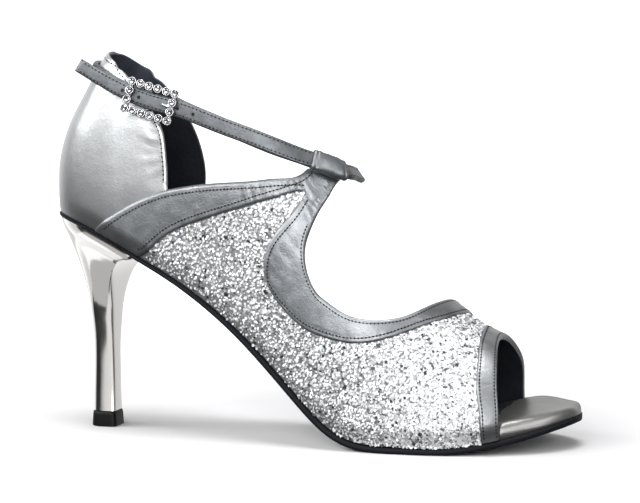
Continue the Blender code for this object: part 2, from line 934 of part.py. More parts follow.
def make_insole():
    """The footbed, whose front is the rounded platform seen in the toe opening."""
    outer_front = x_of(TOE_FRONT[0][0]) + OVERLAY / 2
    inner_front = x_of(TOE_FRONT[-1][0]) + OVERLAY / 2
    steps = [f + CLEARANCE + FLARE_RUN * i / 3 for f in (outer_front, inner_front) for i in range(4)]
    steps += [TOE_X - PLATFORM_ROUND * share for share in (0.15, 0.35, 0.6, 0.85, 1.1)]
    start = HEEL_BACK_X + WALL + CLEARANCE + SOLE_END
    rings = []
    for x in sole_stations(start, TOE_X - SOLE_END, steps):
        centre = plan_centre(x)
        outer = insole_half(x, outer_front)
        inner = insole_half(x, inner_front)
        grown = smooth_step((place_of(x) - BALL) / (TOE_FRONT[-1][0] - BALL))
        thinned = smooth_step((x - x_of(TOE_FRONT[0][0])) / (TOE_X - x_of(TOE_FRONT[0][0])))
        thickness = INSOLE + (TOE_PLATFORM - INSOLE) * grown - (TOE_PLATFORM - TOE_TIP) * thinned
        round_edge = INSOLE_ROUND + (PLATFORM_ROUND - INSOLE_ROUND) * grown
        bottom = feather_height(x)
        edge_on = min((TOE_X - x) / round_edge, 1.0)
        fall = round_edge * (1 - max(1 - (1 - edge_on) ** 2, 0.0) ** 0.5)
        top = bottom + thickness * steepness(x) - fall
        inner_top = top + PLATFORM_LEAN * grown * (1 - thinned)
        rounding = min(round_edge, outer * 0.7, inner * 0.7, (top - bottom) * 0.8)
        profile = [(0.0, bottom), (-outer, bottom), (-outer, top - rounding)]
        profile += [(-outer + rounding * 0.3, top - rounding * 0.3), (-outer + rounding, top)]
        profile += [(0.0, top), (inner - rounding, inner_top)]
        profile += [(inner - rounding * 0.3, inner_top - rounding * 0.3), (inner, inner_top - rounding)]
        profile += [(inner, bottom)]
        rings.append([(x, centre + y, z) for y, z in profile])
    return loft("insole", rings, "dark_lining")


def heel_outline(back, breast, half, waist, count=28):
    """A heel section in plan: round behind, nearly straight across the breast."""
    points = []
    for i in range(count):
        angle = 2 * pi * (i + 0.5) / count
        behind = cos(angle) < 0
        power = SEAT_POWER if behind else BREAST_POWER
        length = waist - back if behind else breast - waist
        x = waist + length * np.sign(cos(angle)) * abs(cos(angle)) ** (2 / power)
        y = half * np.sign(sin(angle)) * abs(sin(angle)) ** (2 / power)
        points.append((float(x), float(y)))
    return points


def make_heel():
    foot = TIP_HEIGHT + CLEARANCE
    rings = []
    for rise, back, breast, half in HEEL_FORM:
        back_x = -TIP_LENGTH / 2 * back
        breast_x = TIP_LENGTH / 2 * breast
        waist_x = back_x + (breast_x - back_x) * HEEL_WAIST
        plan = heel_outline(back_x, breast_x, TIP_WIDTH / 2 * half, waist_x)
        rings.append([(x, y, foot + (underside(x) - CLEARANCE - foot) * rise) for x, y in plan])
    breast_x = x_of(SEAT_BREAST)
    plan = heel_outline(HEEL_BACK_X + HEEL_INSET, breast_x, SEAT_WIDTH / 2 - HEEL_INSET, SEAT_X)
    rings.append([(x, y, underside(x) - CLEARANCE) for x, y in plan])
    return loft("heel", rings, "chrome", sharp=50.0)


def make_heel_tip():
    waist = TIP_LENGTH * (HEEL_WAIST - 0.5)
    rings = []
    for height, flare in ((0.0, TIP_FLARE), (TIP_HEIGHT * 0.8, TIP_FLARE / 2), (TIP_HEIGHT, 0.0)):
        plan = heel_outline(
            -TIP_LENGTH / 2 - flare, TIP_LENGTH / 2 + flare, TIP_WIDTH / 2 + flare, waist
        )
        rings.append([(x, y, height) for x, y in plan])
    return loft("heel_tip", rings, "black_tip")


class StrapPath:
    """Centre line of the ankle strap with the direction that faces away from the foot."""

    def __init__(self):
        centres = []
        outs = []
        for place, girth, stand_off in STRAP_LINE:
            a, _ = chart(place, girth)
            point, normal = wall_frame(a, girth)
            centres.append(point + normal * stand_off)
            outs.append(normal)
        buckle = centres[-1]
        run = (centres[-1] - centres[-2]).normalized()
        up = run.cross(outs[-1]).normalized()
        lifted = run * cos(TAIL_LIFT) + up * sin(TAIL_LIFT)
        half_lifted = run * cos(TAIL_LIFT / 2) + up * sin(TAIL_LIFT / 2)
        straight = STONE_PITCH * (STONES_LONG - 1) / 2
        bend = buckle + half_lifted * straight
        for share in (0.0, 0.5, 1.0):
            centres.append(bend + lifted * (STRAP_TAIL - straight) * share)
            outs.append(outs[-1])
        chords = [(b - a).length for a, b in zip(centres, centres[1:])]
        self.marks = np.concatenate([[0.0], np.cumsum(chords)])
        self.length = float(self.marks[-1])
        self.buckle = float(self.marks[len(STRAP_LINE) - 1])
        self.lines = [natural_spline(self.marks, [p[i] for p in centres]) for i in range(3)]
        self.outs = [natural_spline(self.marks, [n[i] for n in outs]) for i in range(3)]

    def centre(self, t):
        return Vector([line(t) for line in self.lines])

    def frame(self, t):
        """Centre, run towards the free end, width upwards and the way out, at a length."""
        reach = FRAME_REACH
        before = self.centre(max(t - reach, 0.0))
        run = (self.centre(min(t + reach, self.length)) - before).normalized()
        out = Vector([line(t) for line in self.outs])
        width = run.cross(out).normalized()
        return self.centre(t), run, width, width.cross(run).normalized()

    def loop_length(self):
        """Length at which the strap passes over the tab."""
        places = [row[0] for row in STRAP_LINE]
        for i in range(len(places) - 1, 0, -1):
            if places[i] <= LOOP_PLACE <= places[i - 1]:
                share = (LOOP_PLACE - places[i]) / (places[i - 1] - places[i])
                return float(self.marks[i] + (self.marks[i - 1] - self.marks[i]) * share)
        return self.length / 2


def strap_section(width, thickness):
    """A flat strap's section with eased corners."""
    half = width / 2
    deep = thickness / 2
    ease = deep * 0.6
    return [
        (-half, -deep + ease),
        (-half + ease, -deep),
        (half - ease, -deep),
        (half, -deep + ease),
        (half, deep - ease),
        (half - ease, deep),
        (-half + ease, deep),
        (-half, deep - ease),
    ]


def sweep(path, start, end, step, profile):
    count = max(ceil((end - start) / step), 2)
    rings = []
    for i in range(count + 1):
        centre, _, width, out = path.frame(start + (end - start) * i / count)
        rings.append([centre + width * w + out * n for w, n in profile])
    return rings


def make_strap(path):
    profile = strap_section(STRAP_WIDTH, STRAP_THICKNESS)
    strap = loft("ankle_strap", sweep(path, 0.0, path.length, STRAP_STEP, profile), "pewter_leather")
    centre, run, width, out = path.frame(path.buckle)
    spot = centre - run * HOLE_OFFSET
    turn = Matrix((run, width, out)).transposed().to_4x4()
    bpy.ops.mesh.primitive_cylinder_add(vertices=12, radius=PRONG_HOLE / 2, depth=4 * STRAP_THICKNESS)
    cutter = bpy.context.active_object
    cutter.name = "prong_hole_cutter"
    cutter.matrix_world = Matrix.Translation(spot) @ turn
    cutter.hide_render = True
    cutter.display_type = "WIRE"
    hole = strap.modifiers.new("prong_hole", "BOOLEAN")
    hole.operation = "DIFFERENCE"
    hole.solver = "EXACT"
    hole.object = cutter
    return strap


def make_loop(path):
    """The folded tube on the tab, which the strap slides through."""
    half = STRAP_WIDTH / 2 + LOOP_PLAY
    deep = STRAP_THICKNESS / 2 + LOOP_PLAY
    inner = loop_section(half, deep)
    outer = loop_section(half + LOOP_WALL, deep + LOOP_WALL)
    middle = path.loop_length()
    count = len(inner)
    outer_rings = sweep(path, middle - LOOP_LENGTH / 2, middle + LOOP_LENGTH / 2, STRAP_STEP, outer)
    inner_rings = sweep(path, middle - LOOP_LENGTH / 2, middle + LOOP_LENGTH / 2, STRAP_STEP, inner)
    rings = outer_rings + inner_rings[::-1]
    vertices = [point for ring in rings for point in ring]
    faces = []
    for i in range(len(rings)):
        k = (i + 1) % len(rings)
        for j in range(count):
            n = (j + 1) % count
            faces.append((i * count + j, k * count + j, k * count + n, i * count + n))
    piece = make_object("strap_loop", vertices, faces, "pewter_leather")
    face_outward(piece)
    return piece


def loop_section(half, deep, steps=3):
    """A flat oval: straight sides and round ends."""
    points = []
    for side in (1, -1):
        for i in range(steps + 1):
            angle = side * (pi / 2 - pi * i / steps)
            points.append((side * (half - deep + deep * cos(angle)), deep * sin(angle)))
    return points


def rounded_rectangle(half_long, half_short, radius, steps=3):
    points = []
    for corner in range(4):
        across = 1 if corner in (0, 3) else -1
        up = 1 if corner in (0, 1) else -1
        for i in range(steps + 1):
            angle = (corner + i / steps) * pi / 2
            points.append(
                (across * (half_long - radius) + radius * cos(angle),
                 up * (half_short - radius) + radius * sin(angle))
            )
    return points


def stone_spots():
    """Centres of the stones around the frame, from its outer upper corner."""
    half_long = STONE_PITCH * (STONES_LONG - 1) / 2
    half_short = STONE_PITCH * (STONES_SHORT - 1) / 2
    spots = [(-half_long + STONE_PITCH * i, half_short) for i in range(STONES_LONG)]
    spots += [(half_long, half_short - STONE_PITCH * i) for i in range(1, STONES_SHORT - 1)]
    spots += [(half_long - STONE_PITCH * i, -half_short) for i in range(STONES_LONG)]
    spots += [(-half_long, -half_short + STONE_PITCH * i) for i in range(1, STONES_SHORT - 1)]
    return spots


def tube(points, radii, sides=8):
    """Rings of a round bar along points in one plane of the buckle."""
    rings = []
    for i, (point, radius) in enumerate(zip(points, radii)):
        before = Vector(points[max(i - 1, 0)])
        after = Vector(points[min(i + 1, len(points) - 1)])
        run = (after - before).normalized()
        side = run.orthogonal().normalized()
        if abs(run.x) < 0.5:
            side = Vector((1, 0, 0)).cross(run).normalized()
        up = run.cross(side)
        ring = []
        for j in range(sides):
            angle = 2 * pi * j / sides
            ring.append(Vector(point) + (side * cos(angle) + up * sin(angle)) * radius)
        rings.append(ring)
    return rings


def buckle_matrix(path):
    """Buckle axes: X towards the toe, Y up across the strap, Z away from the foot."""
    centre, run, width, out = path.frame(path.buckle)
    turn = Matrix((-run, width, out)).transposed().to_4x4()
    return Matrix.Translation(centre) @ turn


def make_buckle(path):
    place = buckle_matrix(path)
    frame_low = STRAP_THICKNESS / 2 + CLEARANCE
    frame_top = frame_low + FRAME_THICKNESS
    half_long = STONE_PITCH * (STONES_LONG - 1) / 2
    half_short = STONE_PITCH * (STONES_SHORT - 1) / 2
    outer = rounded_rectangle(half_long + FRAME_BAND / 2, half_short + FRAME_BAND / 2, FRAME_BAND / 2)
    inner = rounded_rectangle(half_long - FRAME_BAND / 2, half_short - FRAME_BAND / 2, FRAME_BAND / 5)
    count = len(outer)
    vertices = []
    for z, line in ((frame_low, outer), (frame_top, outer), (frame_top, inner), (frame_low, inner)):
        vertices += [(x, y, z) for x, y in line]
    faces = []
    for i in range(4):
        k = (i + 1) % 4
        for j in range(count):
            n = (j + 1) % count
            faces.append((i * count + j, i * count + n, k * count + n, k * count + j))
    frame = make_object("buckle_frame", vertices, faces, "chrome")
    face_outward(frame)

    bar = BAR_DIAMETER / 2
    reach = STRAP_WIDTH / 2 + CLEARANCE + bar
    bar_depth = -(STRAP_THICKNESS / 2 + CLEARANCE + bar)
    inside_frame = frame_low + FRAME_THICKNESS / 2
    seat = half_short
    route = [
        (0.0, seat, inside_frame),
        (0.0, reach, frame_low - bar / 2),
        (0.0, reach, bar_depth + bar),
        (0.0, reach - bar, bar_depth),
        (0.0, bar - reach, bar_depth),
        (0.0, -reach, bar_depth + bar),
        (0.0, -reach, frame_low - bar / 2),
        (0.0, -seat, inside_frame),
    ]
    staple_vertices, staple_faces = bridge(tube(route, [bar] * len(route)))
    staple = make_object("frame_staple", staple_vertices, staple_faces, "chrome")
    face_outward(staple)
    merge(frame, staple)
    frame.matrix_world = place

    make_prong(place, bar, bar_depth, frame_top, half_long)
    make_stones(place, frame_top)
    return frame


def merge(piece, other):
    """Unite another closed shape with a piece and remove the other."""
    union = piece.modifiers.new("union", "BOOLEAN")
    union.operation = "UNION"
    union.solver = "EXACT"
    union.object = other
    seen = bpy.context.evaluated_depsgraph_get()
    united = bpy.data.meshes.new_from_object(piece.evaluated_get(seen))
    piece.modifiers.clear()
    piece.data = united
    bpy.data.objects.remove(other)


def make_prong(place, bar, bar_depth, frame_top, half_long):
    """The prong lies under the strap from the bar, rises through the hole and rests on the frame."""
    radius = PRONG_DIAMETER / 2
    top = frame_top + CLEARANCE + radius
    over = STRAP_THICKNESS / 2 + CLEARANCE + radius
    route = [
        (bar + CLEARANCE, 0.0, bar_depth),
        (HOLE_OFFSET - PRONG_KNEE, 0.0, bar_depth + PRONG_ARCH / 5),
        (HOLE_OFFSET - PRONG_SLOPE / 2, 0.0, -radius),
        (HOLE_OFFSET + PRONG_SLOPE / 2, 0.0, radius),
        (HOLE_OFFSET + PRONG_CREST, 0.0, over + PRONG_ARCH),
        (half_long - FRAME_BAND / 2 - radius, 0.0, top - radius * 0.2),
        (half_long - FRAME_BAND / 3, 0.0, top - radius * 0.5),
    ]
    radii = [radius * share for share in (1, 1, 1, 1, 1, 0.8, 0.5)]
    vertices, faces = bridge(tube(route, radii))
    prong = make_object("buckle_prong", vertices, faces, "chrome")
    face_outward(prong)
    prong.matrix_world = place


def make_stones(place, frame_top):
    """Cut stones around the frame, each a faceted cup shape on the frame's face."""
    radius = (STONE_PITCH - STONE_GAP) / 2
    profile = [(0.86, 0.0), (1.0, 0.35), (1.0, 0.6), (0.55, 1.0)]
    rings = []
    for share, height in profile:
        ring = []
        for j in range(8):
            angle = 2 * pi * (j + 0.5) / 8
            z = CLEARANCE + STONE_HEIGHT * height
            ring.append((radius * share * cos(angle), radius * share * sin(angle), z))
        rings.append(ring)
    vertices, faces = bridge(rings)
    for number, (x, y) in enumerate(stone_spots(), 1):
        stone = make_object(f"stone_{number:02d}", vertices, faces, "crystal", sharp=20.0)
        face_outward(stone)
        stone.matrix_world = place @ Matrix.Translation((x, y, frame_top))


def remove_all():
    for piece in list(bpy.data.objects):
        bpy.data.objects.remove(piece)


remove_all()
MATERIALS = make_materials()
make_upper()
make_outsole()
make_insole()
make_heel()
make_heel_tip()
strap_path = StrapPath()
make_strap(strap_path)
make_loop(strap_path)
make_buckle(strap_path)
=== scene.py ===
"""Looks of the open-toe ballroom dance shoe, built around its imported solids.

Metres, +X to the toe, +Y to the inner side, +Z up. The surface of the last has a chart of two
coordinates: a, the length from the widest seat, and up, the girth times GIRTH_LENGTH.
"""

from math import ceil, cos, hypot, pi, sin

import bmesh
import bpy
import numpy as np
from mathutils import Matrix, Vector
from mathutils.geometry import delaunay_2d_cdt


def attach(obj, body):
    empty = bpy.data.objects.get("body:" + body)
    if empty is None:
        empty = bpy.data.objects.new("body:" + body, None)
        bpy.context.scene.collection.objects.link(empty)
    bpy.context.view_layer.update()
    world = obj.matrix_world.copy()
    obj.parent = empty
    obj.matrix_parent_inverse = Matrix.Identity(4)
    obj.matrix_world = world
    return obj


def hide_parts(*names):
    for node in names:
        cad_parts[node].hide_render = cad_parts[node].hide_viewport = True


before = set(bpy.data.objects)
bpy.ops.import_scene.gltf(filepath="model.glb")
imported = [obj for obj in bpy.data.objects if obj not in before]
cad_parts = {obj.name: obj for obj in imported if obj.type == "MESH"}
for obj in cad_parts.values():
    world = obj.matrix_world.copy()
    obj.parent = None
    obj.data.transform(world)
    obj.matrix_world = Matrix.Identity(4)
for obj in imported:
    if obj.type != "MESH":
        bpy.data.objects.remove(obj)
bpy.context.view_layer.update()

MM = 0.001
RANDOM = np.random.default_rng(17)

# Sizes of the last
SHOE_LENGTH = 219.5 * MM
SEAT_WIDTH = 52.0 * MM
BALL_WIDTH = 75.6 * MM
HEEL_HEIGHT = 88.5 * MM
INSTEP_HEIGHT = 118.0 * MM
COUNTER_HEIGHT = 66.0 * MM
TOE_SPRING = 10.5 * MM
HEEL_SET = 18.0 * MM
TUCK = 2.2 * MM
TUCK_RISE = 8.0 * MM
WALL = 1.6 * MM
OVERLAY_TOP = 1.0 * MM
OUTSOLE = 2.4 * MM
SEAT_SOLE = 1.4 * MM
INSOLE = 3.0 * MM
TOE_PLATFORM = 6.8 * MM
TOE_TIP = 4.0 * MM
INSOLE_ROUND = 1.6 * MM
PLATFORM_ROUND = 4.2 * MM
PLATFORM_LEAN = 2.2 * MM
CLEARANCE = 0.3 * MM
GIRTH_LENGTH = 0.9 * INSTEP_HEIGHT

TIP_HEIGHT = 6.3 * MM
TIP_LENGTH = 10.5 * MM
TIP_WIDTH = 11.2 * MM
TIP_FLARE = 0.6 * MM

STRAP_WIDTH = 6.8 * MM
STRAP_THICKNESS = 1.8 * MM
STRAP_TAIL = 34.5 * MM
TAIL_LIFT = 9 * pi / 180
TAIL_CURL = 1.8 * MM
TAIL_TAPER = 0.16
OVERLAY = 1.1 * MM
LOOP_LENGTH = 15.0 * MM
LOOP_WALL = 0.9 * MM
LOOP_PLAY = 0.4 * MM
STONE_PITCH = 3.8 * MM
STONES_LONG = 6
STONES_SHORT = 4
FRAME_BAND = 2.0 * MM
FRAME_THICKNESS = 1.2 * MM
BAR_DIAMETER = 1.0 * MM
PRONG_DIAMETER = 1.1 * MM
HOLE_OFFSET = 3.7 * MM

WIDEST_SEAT = 0.146
BALL = 0.715
TREAD_START = 0.67
TREAD_END = 0.75
LOOP_PLACE = 0.536
BUCKLE_PLACE = 0.220
SEAT_BREAST = 0.178
HEEL_WAIST = 0.45
TOE_POWER = 2.2
SEAT_POWER = 2.3
BREAST_POWER = 8.0

LINE_STEP = 1.0 * MM
LATTICE = 1.15 * MM
SLOPE_REACH = 0.1 * MM
NORMAL_REACH = 0.2 * MM
GIRTH_REACH = 0.002
GIRTH_END = 1.998
SOLE_GROWTH = 1.3
OUTLINE_STEPS = 400

# Underside of the sole: place, height as a share of HEEL_HEIGHT
ARCH = [
    (0.000, 0.999), (0.050, 0.972), (0.110, 0.918), (0.180, 0.825), (0.250, 0.728),
    (0.320, 0.612), (0.380, 0.493), (0.440, 0.353), (0.500, 0.203), (0.545, 0.100),
    (0.590, 0.032), (0.630, 0.006), (TREAD_START, 0.000),
]
# Toe spring: place, height as a share of TOE_SPRING
SPRING = [
    (TREAD_END, 0.00), (0.780, 0.02), (0.810, 0.07), (0.870, 0.27), (0.930, 0.58),
    (1.000, 1.00),
]
# Plan of the feather edge: place, half width share, swing share
PLAN = [
    (WIDEST_SEAT, 0.500, 0.000),
    (0.220, 0.470, -0.011),
    (0.310, 0.428, -0.031),
    (0.400, 0.405, -0.047),
    (0.490, 0.412, -0.048),
    (0.580, 0.455, -0.026),
    (0.670, 0.492, -0.002),
    (0.740, 0.500, 0.012),
    (0.820, 0.500, 0.024),
    (0.900, 0.500, 0.036),
    (1.000, 0.500, 0.046),
]
# Ridge of the last: place, height share, swing share, power of the section's curve
RIDGE = [
    (WIDEST_SEAT, 1.520, 0.000, 2.30),
    (0.260, 1.530, 0.000, 2.30),
    (0.360, 1.470, 0.000, 2.30),
    (0.430, 1.330, 0.000, 2.30),
    (0.490, 1.130, 0.000, 2.28),
    (0.530, 1.015, 0.005, 2.25),
    (0.580, 0.885, 0.010, 2.18),
    (0.660, 0.680, 0.016, 2.02),
    (0.745, 0.497, 0.020, 1.90),
    (0.780, 0.447, 0.022, 1.90),
    (0.814, 0.402, 0.024, 1.92),
    (0.850, 0.369, 0.026, 1.95),
    (0.900, 0.322, 0.030, 2.00),
    (1.000, 0.250, 0.036, 2.00),
]
# Back of the counter: height as a share of COUNTER_HEIGHT, lean as a share of the seat's length
BACK = [
    (0.00, 0.000), (0.15, -0.004), (0.33, 0.012), (0.46, 0.078), (0.57, 0.165),
    (0.68, 0.287), (0.79, 0.418), (0.89, 0.535), (0.96, 0.625), (1.00, 0.690),
]
# Collar: place or quarter turns round the heel, height as a share of COUNTER_HEIGHT
COLLAR_OUTER = [
    (0.248, 0.550), (0.247, 0.660), (0.244, 0.750), (0.234, 0.889), (0.212, 0.961),
    (0.191, 1.019), (0.168, 1.062), (0.149, 1.086),
]
COLLAR_BACK = [
    (-0.20, 1.066), (-0.50, 1.026), (-0.80, 1.010), (-1.00, 1.000), (-1.21, 0.990),
    (-1.50, 0.966), (-1.76, 0.972), (-1.95, 0.996),
]
COLLAR_INNER = [
    (0.160, 0.990), (0.180, 0.950), (0.201, 0.894), (0.221, 0.828), (0.238, 0.714),
    (0.246, 0.580), (0.244, 0.450), (0.236, 0.280), (0.221, 0.120), (0.208, 0.000),
]
# Panel lines: place (negative: quarter turns round the heel), girth
BAND_REAR = [(-0.215, 0.000), (-0.062, 0.042), (0.175, 0.096), (0.218, 0.141), (0.248, 0.168)]
BAND_UPPER = [
    (0.248, 0.168), (0.261, 0.178), (0.318, 0.224), (0.394, 0.303), (0.419, 0.343),
    (0.458, 0.435), (0.488, 0.530), (0.502, 0.592), (0.511, 0.650),
]
BAND_LOWER = [
    (0.190, 0.000), (0.205, 0.012), (0.231, 0.046), (0.261, 0.084), (0.289, 0.114),
    (0.335, 0.163), (0.392, 0.236), (0.434, 0.314), (0.473, 0.420), (0.502, 0.518),
    (0.512, 0.548),
]
SEAM = [(0.512, 0.548), (0.533, 0.606), (0.553, 0.678)]
TAB_TOP = [(0.511, 0.650), (0.563, 0.843)]
TAB_FRONT = [(0.563, 0.843), (0.558, 0.757), (0.553, 0.678)]
THROAT = [
    (0.547, 0.620), (0.538, 0.546), (0.527, 0.456), (0.520, 0.393), (0.519, 0.347),
    (0.525, 0.316), (0.537, 0.300), (0.560, 0.309), (0.591, 0.334), (0.627, 0.381),
    (0.664, 0.456), (0.692, 0.538), (0.716, 0.650), (0.735, 0.791), (0.748, 0.957),
    (0.751, 1.080), (0.750, 1.220), (0.743, 1.360), (0.730, 1.480), (0.708, 1.610),
    (0.678, 1.750), (0.640, 1.880), (0.600, 2.000),
]
BINDING = [
    (0.500, 0.465), (0.476, 0.351), (0.455, 0.265), (0.445, 0.213), (0.443, 0.177),
    (0.446, 0.155), (0.461, 0.143), (0.484, 0.146), (0.514, 0.160), (0.563, 0.209),
    (0.616, 0.277), (0.660, 0.359), (0.703, 0.483), (0.742, 0.649), (0.769, 0.799),
    (0.783, 0.961), (0.785, 1.060), (0.783, 1.180), (0.778, 1.300), (0.768, 1.440),
    (0.753, 1.590), (0.730, 1.740), (0.700, 1.880), (0.668, 2.000),
]
TOE_FRONT = [
    (0.885, 0.000), (0.884, 0.213), (0.879, 0.345), (0.873, 0.499), (0.866, 0.666),
    (0.858, 0.845), (0.853, 1.003), (0.854, 1.180), (0.860, 1.350), (0.865, 1.490),
    (0.863, 1.640), (0.859, 1.800), (0.859, 2.000),
]
TOE_REAR = [
    (0.853, 0.000), (0.850, 0.213), (0.844, 0.323), (0.838, 0.449), (0.834, 0.581),
    (0.828, 0.737), (0.821, 0.950), (0.815, 1.104), (0.818, 1.300), (0.824, 1.480),
    (0.825, 1.660), (0.823, 1.830), (0.822, 2.000),
]
# Heel: height share, back, breast and half width as shares of the tip's
HEEL_FORM = [
    (0.00, 1.000, 1.000, 1.000),
    (0.10, 0.985, 0.965, 0.915),
    (0.22, 0.940, 0.945, 0.905),
    (0.35, 0.930, 0.920, 0.960),
    (0.485, 1.045, 0.965, 1.240),
    (0.60, 1.310, 1.050, 1.540),
    (0.69, 1.640, 1.190, 2.030),
    (0.80, 2.230, 1.580, 2.700),
    (0.86, 2.600, 2.030, 3.200),
    (0.915, 2.950, 2.720, 3.890),
    (0.955, 3.200, 3.550, 4.400),
]
ON_WALL = CLEARANCE + STRAP_THICKNESS / 2 + 0.3 * MM
OVER_STRAP = ON_WALL + STRAP_THICKNESS + 0.4 * MM
IN_LOOP = 2 * CLEARANCE + OVERLAY + LOOP_WALL + LOOP_PLAY + STRAP_THICKNESS / 2
# Centre line of the ankle strap: quarter turn or place, girth, stand-off
STRAP_LINE = [
    (0.212, 0.386, ON_WALL),
    (0.190, 0.402, ON_WALL),
    (0.162, 0.404, ON_WALL),
    (-0.12, 0.396, ON_WALL),
    (-0.30, 0.384, 1.05 * ON_WALL),
    (-0.50, 0.374, ON_WALL),
    (-0.80, 0.366, ON_WALL),
    (-1.00, 0.360, ON_WALL),
    (-1.20, 0.357, ON_WALL),
    (-1.50, 0.352, ON_WALL),
    (-1.92, 0.346, ON_WALL),
    (0.200, 1.674, ON_WALL),
    (0.256, 1.684, 1.2 * ON_WALL),
    (0.334, 1.676, 1.3 * ON_WALL),
    (0.394, 1.642, 1.3 * ON_WALL),
    (0.434, 1.590, 1.3 * ON_WALL),
    (0.512, 1.400, 1.2 * ON_WALL),
    (0.553, 1.240, 0.8 * ON_WALL),
    (0.567, 1.130, 0.20 * IN_LOOP),
    (0.572, 1.030, 0.20 * IN_LOOP),
    (0.567, 0.935, 0.52 * IN_LOOP),
    (0.558, 0.838, IN_LOOP),
    (0.538, 0.763, IN_LOOP),
    (0.516, 0.692, IN_LOOP),
    (0.489, 0.614, 0.87 * IN_LOOP),
    (0.462, 0.542, 0.77 * IN_LOOP),
    (0.403, 0.437, 0.75 * OVER_STRAP),
    (0.338, 0.392, 0.82 * OVER_STRAP),
    (0.272, 0.382, 0.93 * OVER_STRAP),
    (BUCKLE_PLACE, 0.381, OVER_STRAP),
]


# The last's surface, for arrays of points
def spline(places, values):
    """A natural cubic spline through the points, held at its ends outside them."""
    x = np.asarray(places, float)
    y = np.asarray(values, float)
    step = np.diff(x)
    count = len(x)
    matrix = np.eye(count)
    right = np.zeros(count)
    for i in range(1, count - 1):
        matrix[i, i - 1] = step[i - 1]
        matrix[i, i] = 2 * (step[i - 1] + step[i])
        matrix[i, i + 1] = step[i]
        right[i] = 6 * ((y[i + 1] - y[i]) / step[i] - (y[i] - y[i - 1]) / step[i - 1])
    bend = np.linalg.solve(matrix, right)

    def value(at):
        at = np.clip(at, x[0], x[-1])
        i = np.clip(np.searchsorted(x, at) - 1, 0, count - 2)
        d = step[i]
        before = x[i + 1] - at
        after = at - x[i]
        curved = (bend[i] * before**3 + bend[i + 1] * after**3) / (6 * d)
        near = (y[i] / d - bend[i] * d / 6) * before
        far = (y[i + 1] / d - bend[i + 1] * d / 6) * after
        return curved + near + far

    return value


def column(rows, index):
    return spline([row[0] for row in rows], [row[index] for row in rows])


arch_height = column(ARCH, 1)
spring_height = column(SPRING, 1)
plan_share = column(PLAN, 1)
plan_swing = column(PLAN, 2)
ridge_height = column(RIDGE, 1)
ridge_swing = column(RIDGE, 2)
section_power = column(RIDGE, 3)
back_lean = column(BACK, 1)


def smooth(t):
    t = np.clip(t, 0.0, 1.0)
    return t * t * (3 - 2 * t)


def place_of(x):
    return (x + HEEL_SET) / SHOE_LENGTH


def x_of(place):
    return place * SHOE_LENGTH - HEEL_SET


HEEL_BACK_X = x_of(0.0)
SEAT_X = x_of(WIDEST_SEAT)
BALL_X = x_of(BALL)
TOE_X = x_of(1.0)


def underside(x):
    place = place_of(x)
    arch = np.maximum(HEEL_HEIGHT * arch_height(place), 0.0)
    spring = np.maximum(TOE_SPRING * spring_height(place), 0.0)
    return np.where(place < TREAD_START, arch, np.where(place > TREAD_END, spring, 0.0))


def steepness(x):
    rise = underside(x + SLOPE_REACH) - underside(x - SLOPE_REACH)
    return np.hypot(1.0, rise / (2 * SLOPE_REACH))


def sole_top(x):
    grown = smooth((place_of(x) - WIDEST_SEAT) / (BALL - WIDEST_SEAT) * SOLE_GROWTH)
    return underside(x) + (SEAT_SOLE + (OUTSOLE - SEAT_SOLE) * grown) * steepness(x)


def feather_height(x):
    return sole_top(x) + CLEARANCE


def plan_half(x, inset=0.0):
    place = place_of(x)
    grown = smooth((place - WIDEST_SEAT) / (BALL - WIDEST_SEAT))
    half = (SEAT_WIDTH + (BALL_WIDTH - SEAT_WIDTH) * grown) * plan_share(place) - inset
    toe = np.clip((x - BALL_X) / (TOE_X - inset - BALL_X), 0.0, 1.0)
    heel = np.clip((SEAT_X - x) / (SEAT_X - HEEL_BACK_X - inset), 0.0, 1.0)
    half = half * np.maximum(1 - toe**TOE_POWER, 0.0) ** 0.5
    return half * np.maximum(1 - heel**SEAT_POWER, 0.0) ** (1 / SEAT_POWER)


def plan_centre(x):
    return BALL_WIDTH * plan_swing(place_of(x))


def section_rise(x):
    return INSTEP_HEIGHT * ridge_height(place_of(x)) - feather_height(x)


def section(x, girth):
    angle = girth * pi / 2
    power = section_power(place_of(x))
    height = section_rise(x) * np.abs(np.sin(angle)) ** (2 / power)
    side = np.where(girth < 1, -1.0, 1.0)
    ridge_y = BALL_WIDTH * ridge_swing(place_of(x))
    foot_y = plan_centre(x) + side * plan_half(x)
    share = np.abs(np.cos(angle)) ** (2 / power)
    tucked = TUCK * smooth(height / TUCK_RISE) * np.minimum(1.0, 3 * share)
    return ridge_y + (foot_y - ridge_y) * share + side * tucked, height


def running_length(line):
    """Length from a line's start to each of its points, in a plane."""
    return np.concatenate([[0.0], np.cumsum(np.hypot(*np.diff(line, axis=0).T))])


def seat_outline(turn, length, half):
    x = SEAT_X - length * np.abs(np.sin(turn)) ** (2 / SEAT_POWER)
    side = np.where(turn < pi / 2, -1.0, 1.0)
    return x, side * half * np.abs(np.cos(turn)) ** (2 / SEAT_POWER)


TURNS = np.linspace(0, pi / 2, OUTLINE_STEPS)
seat_line = np.stack(seat_outline(TURNS, SEAT_X - HEEL_BACK_X, SEAT_WIDTH / 2), 1)
seat_line[-1, 1] = 0.0
TURN_LENGTHS = running_length(seat_line)
QUARTER = float(TURN_LENGTHS[-1])


def turn_at(a):
    near = np.interp(-a, TURN_LENGTHS, TURNS)
    far = pi - np.interp(2 * QUARTER + a, TURN_LENGTHS, TURNS)
    return np.where(-a <= QUARTER, near, far)


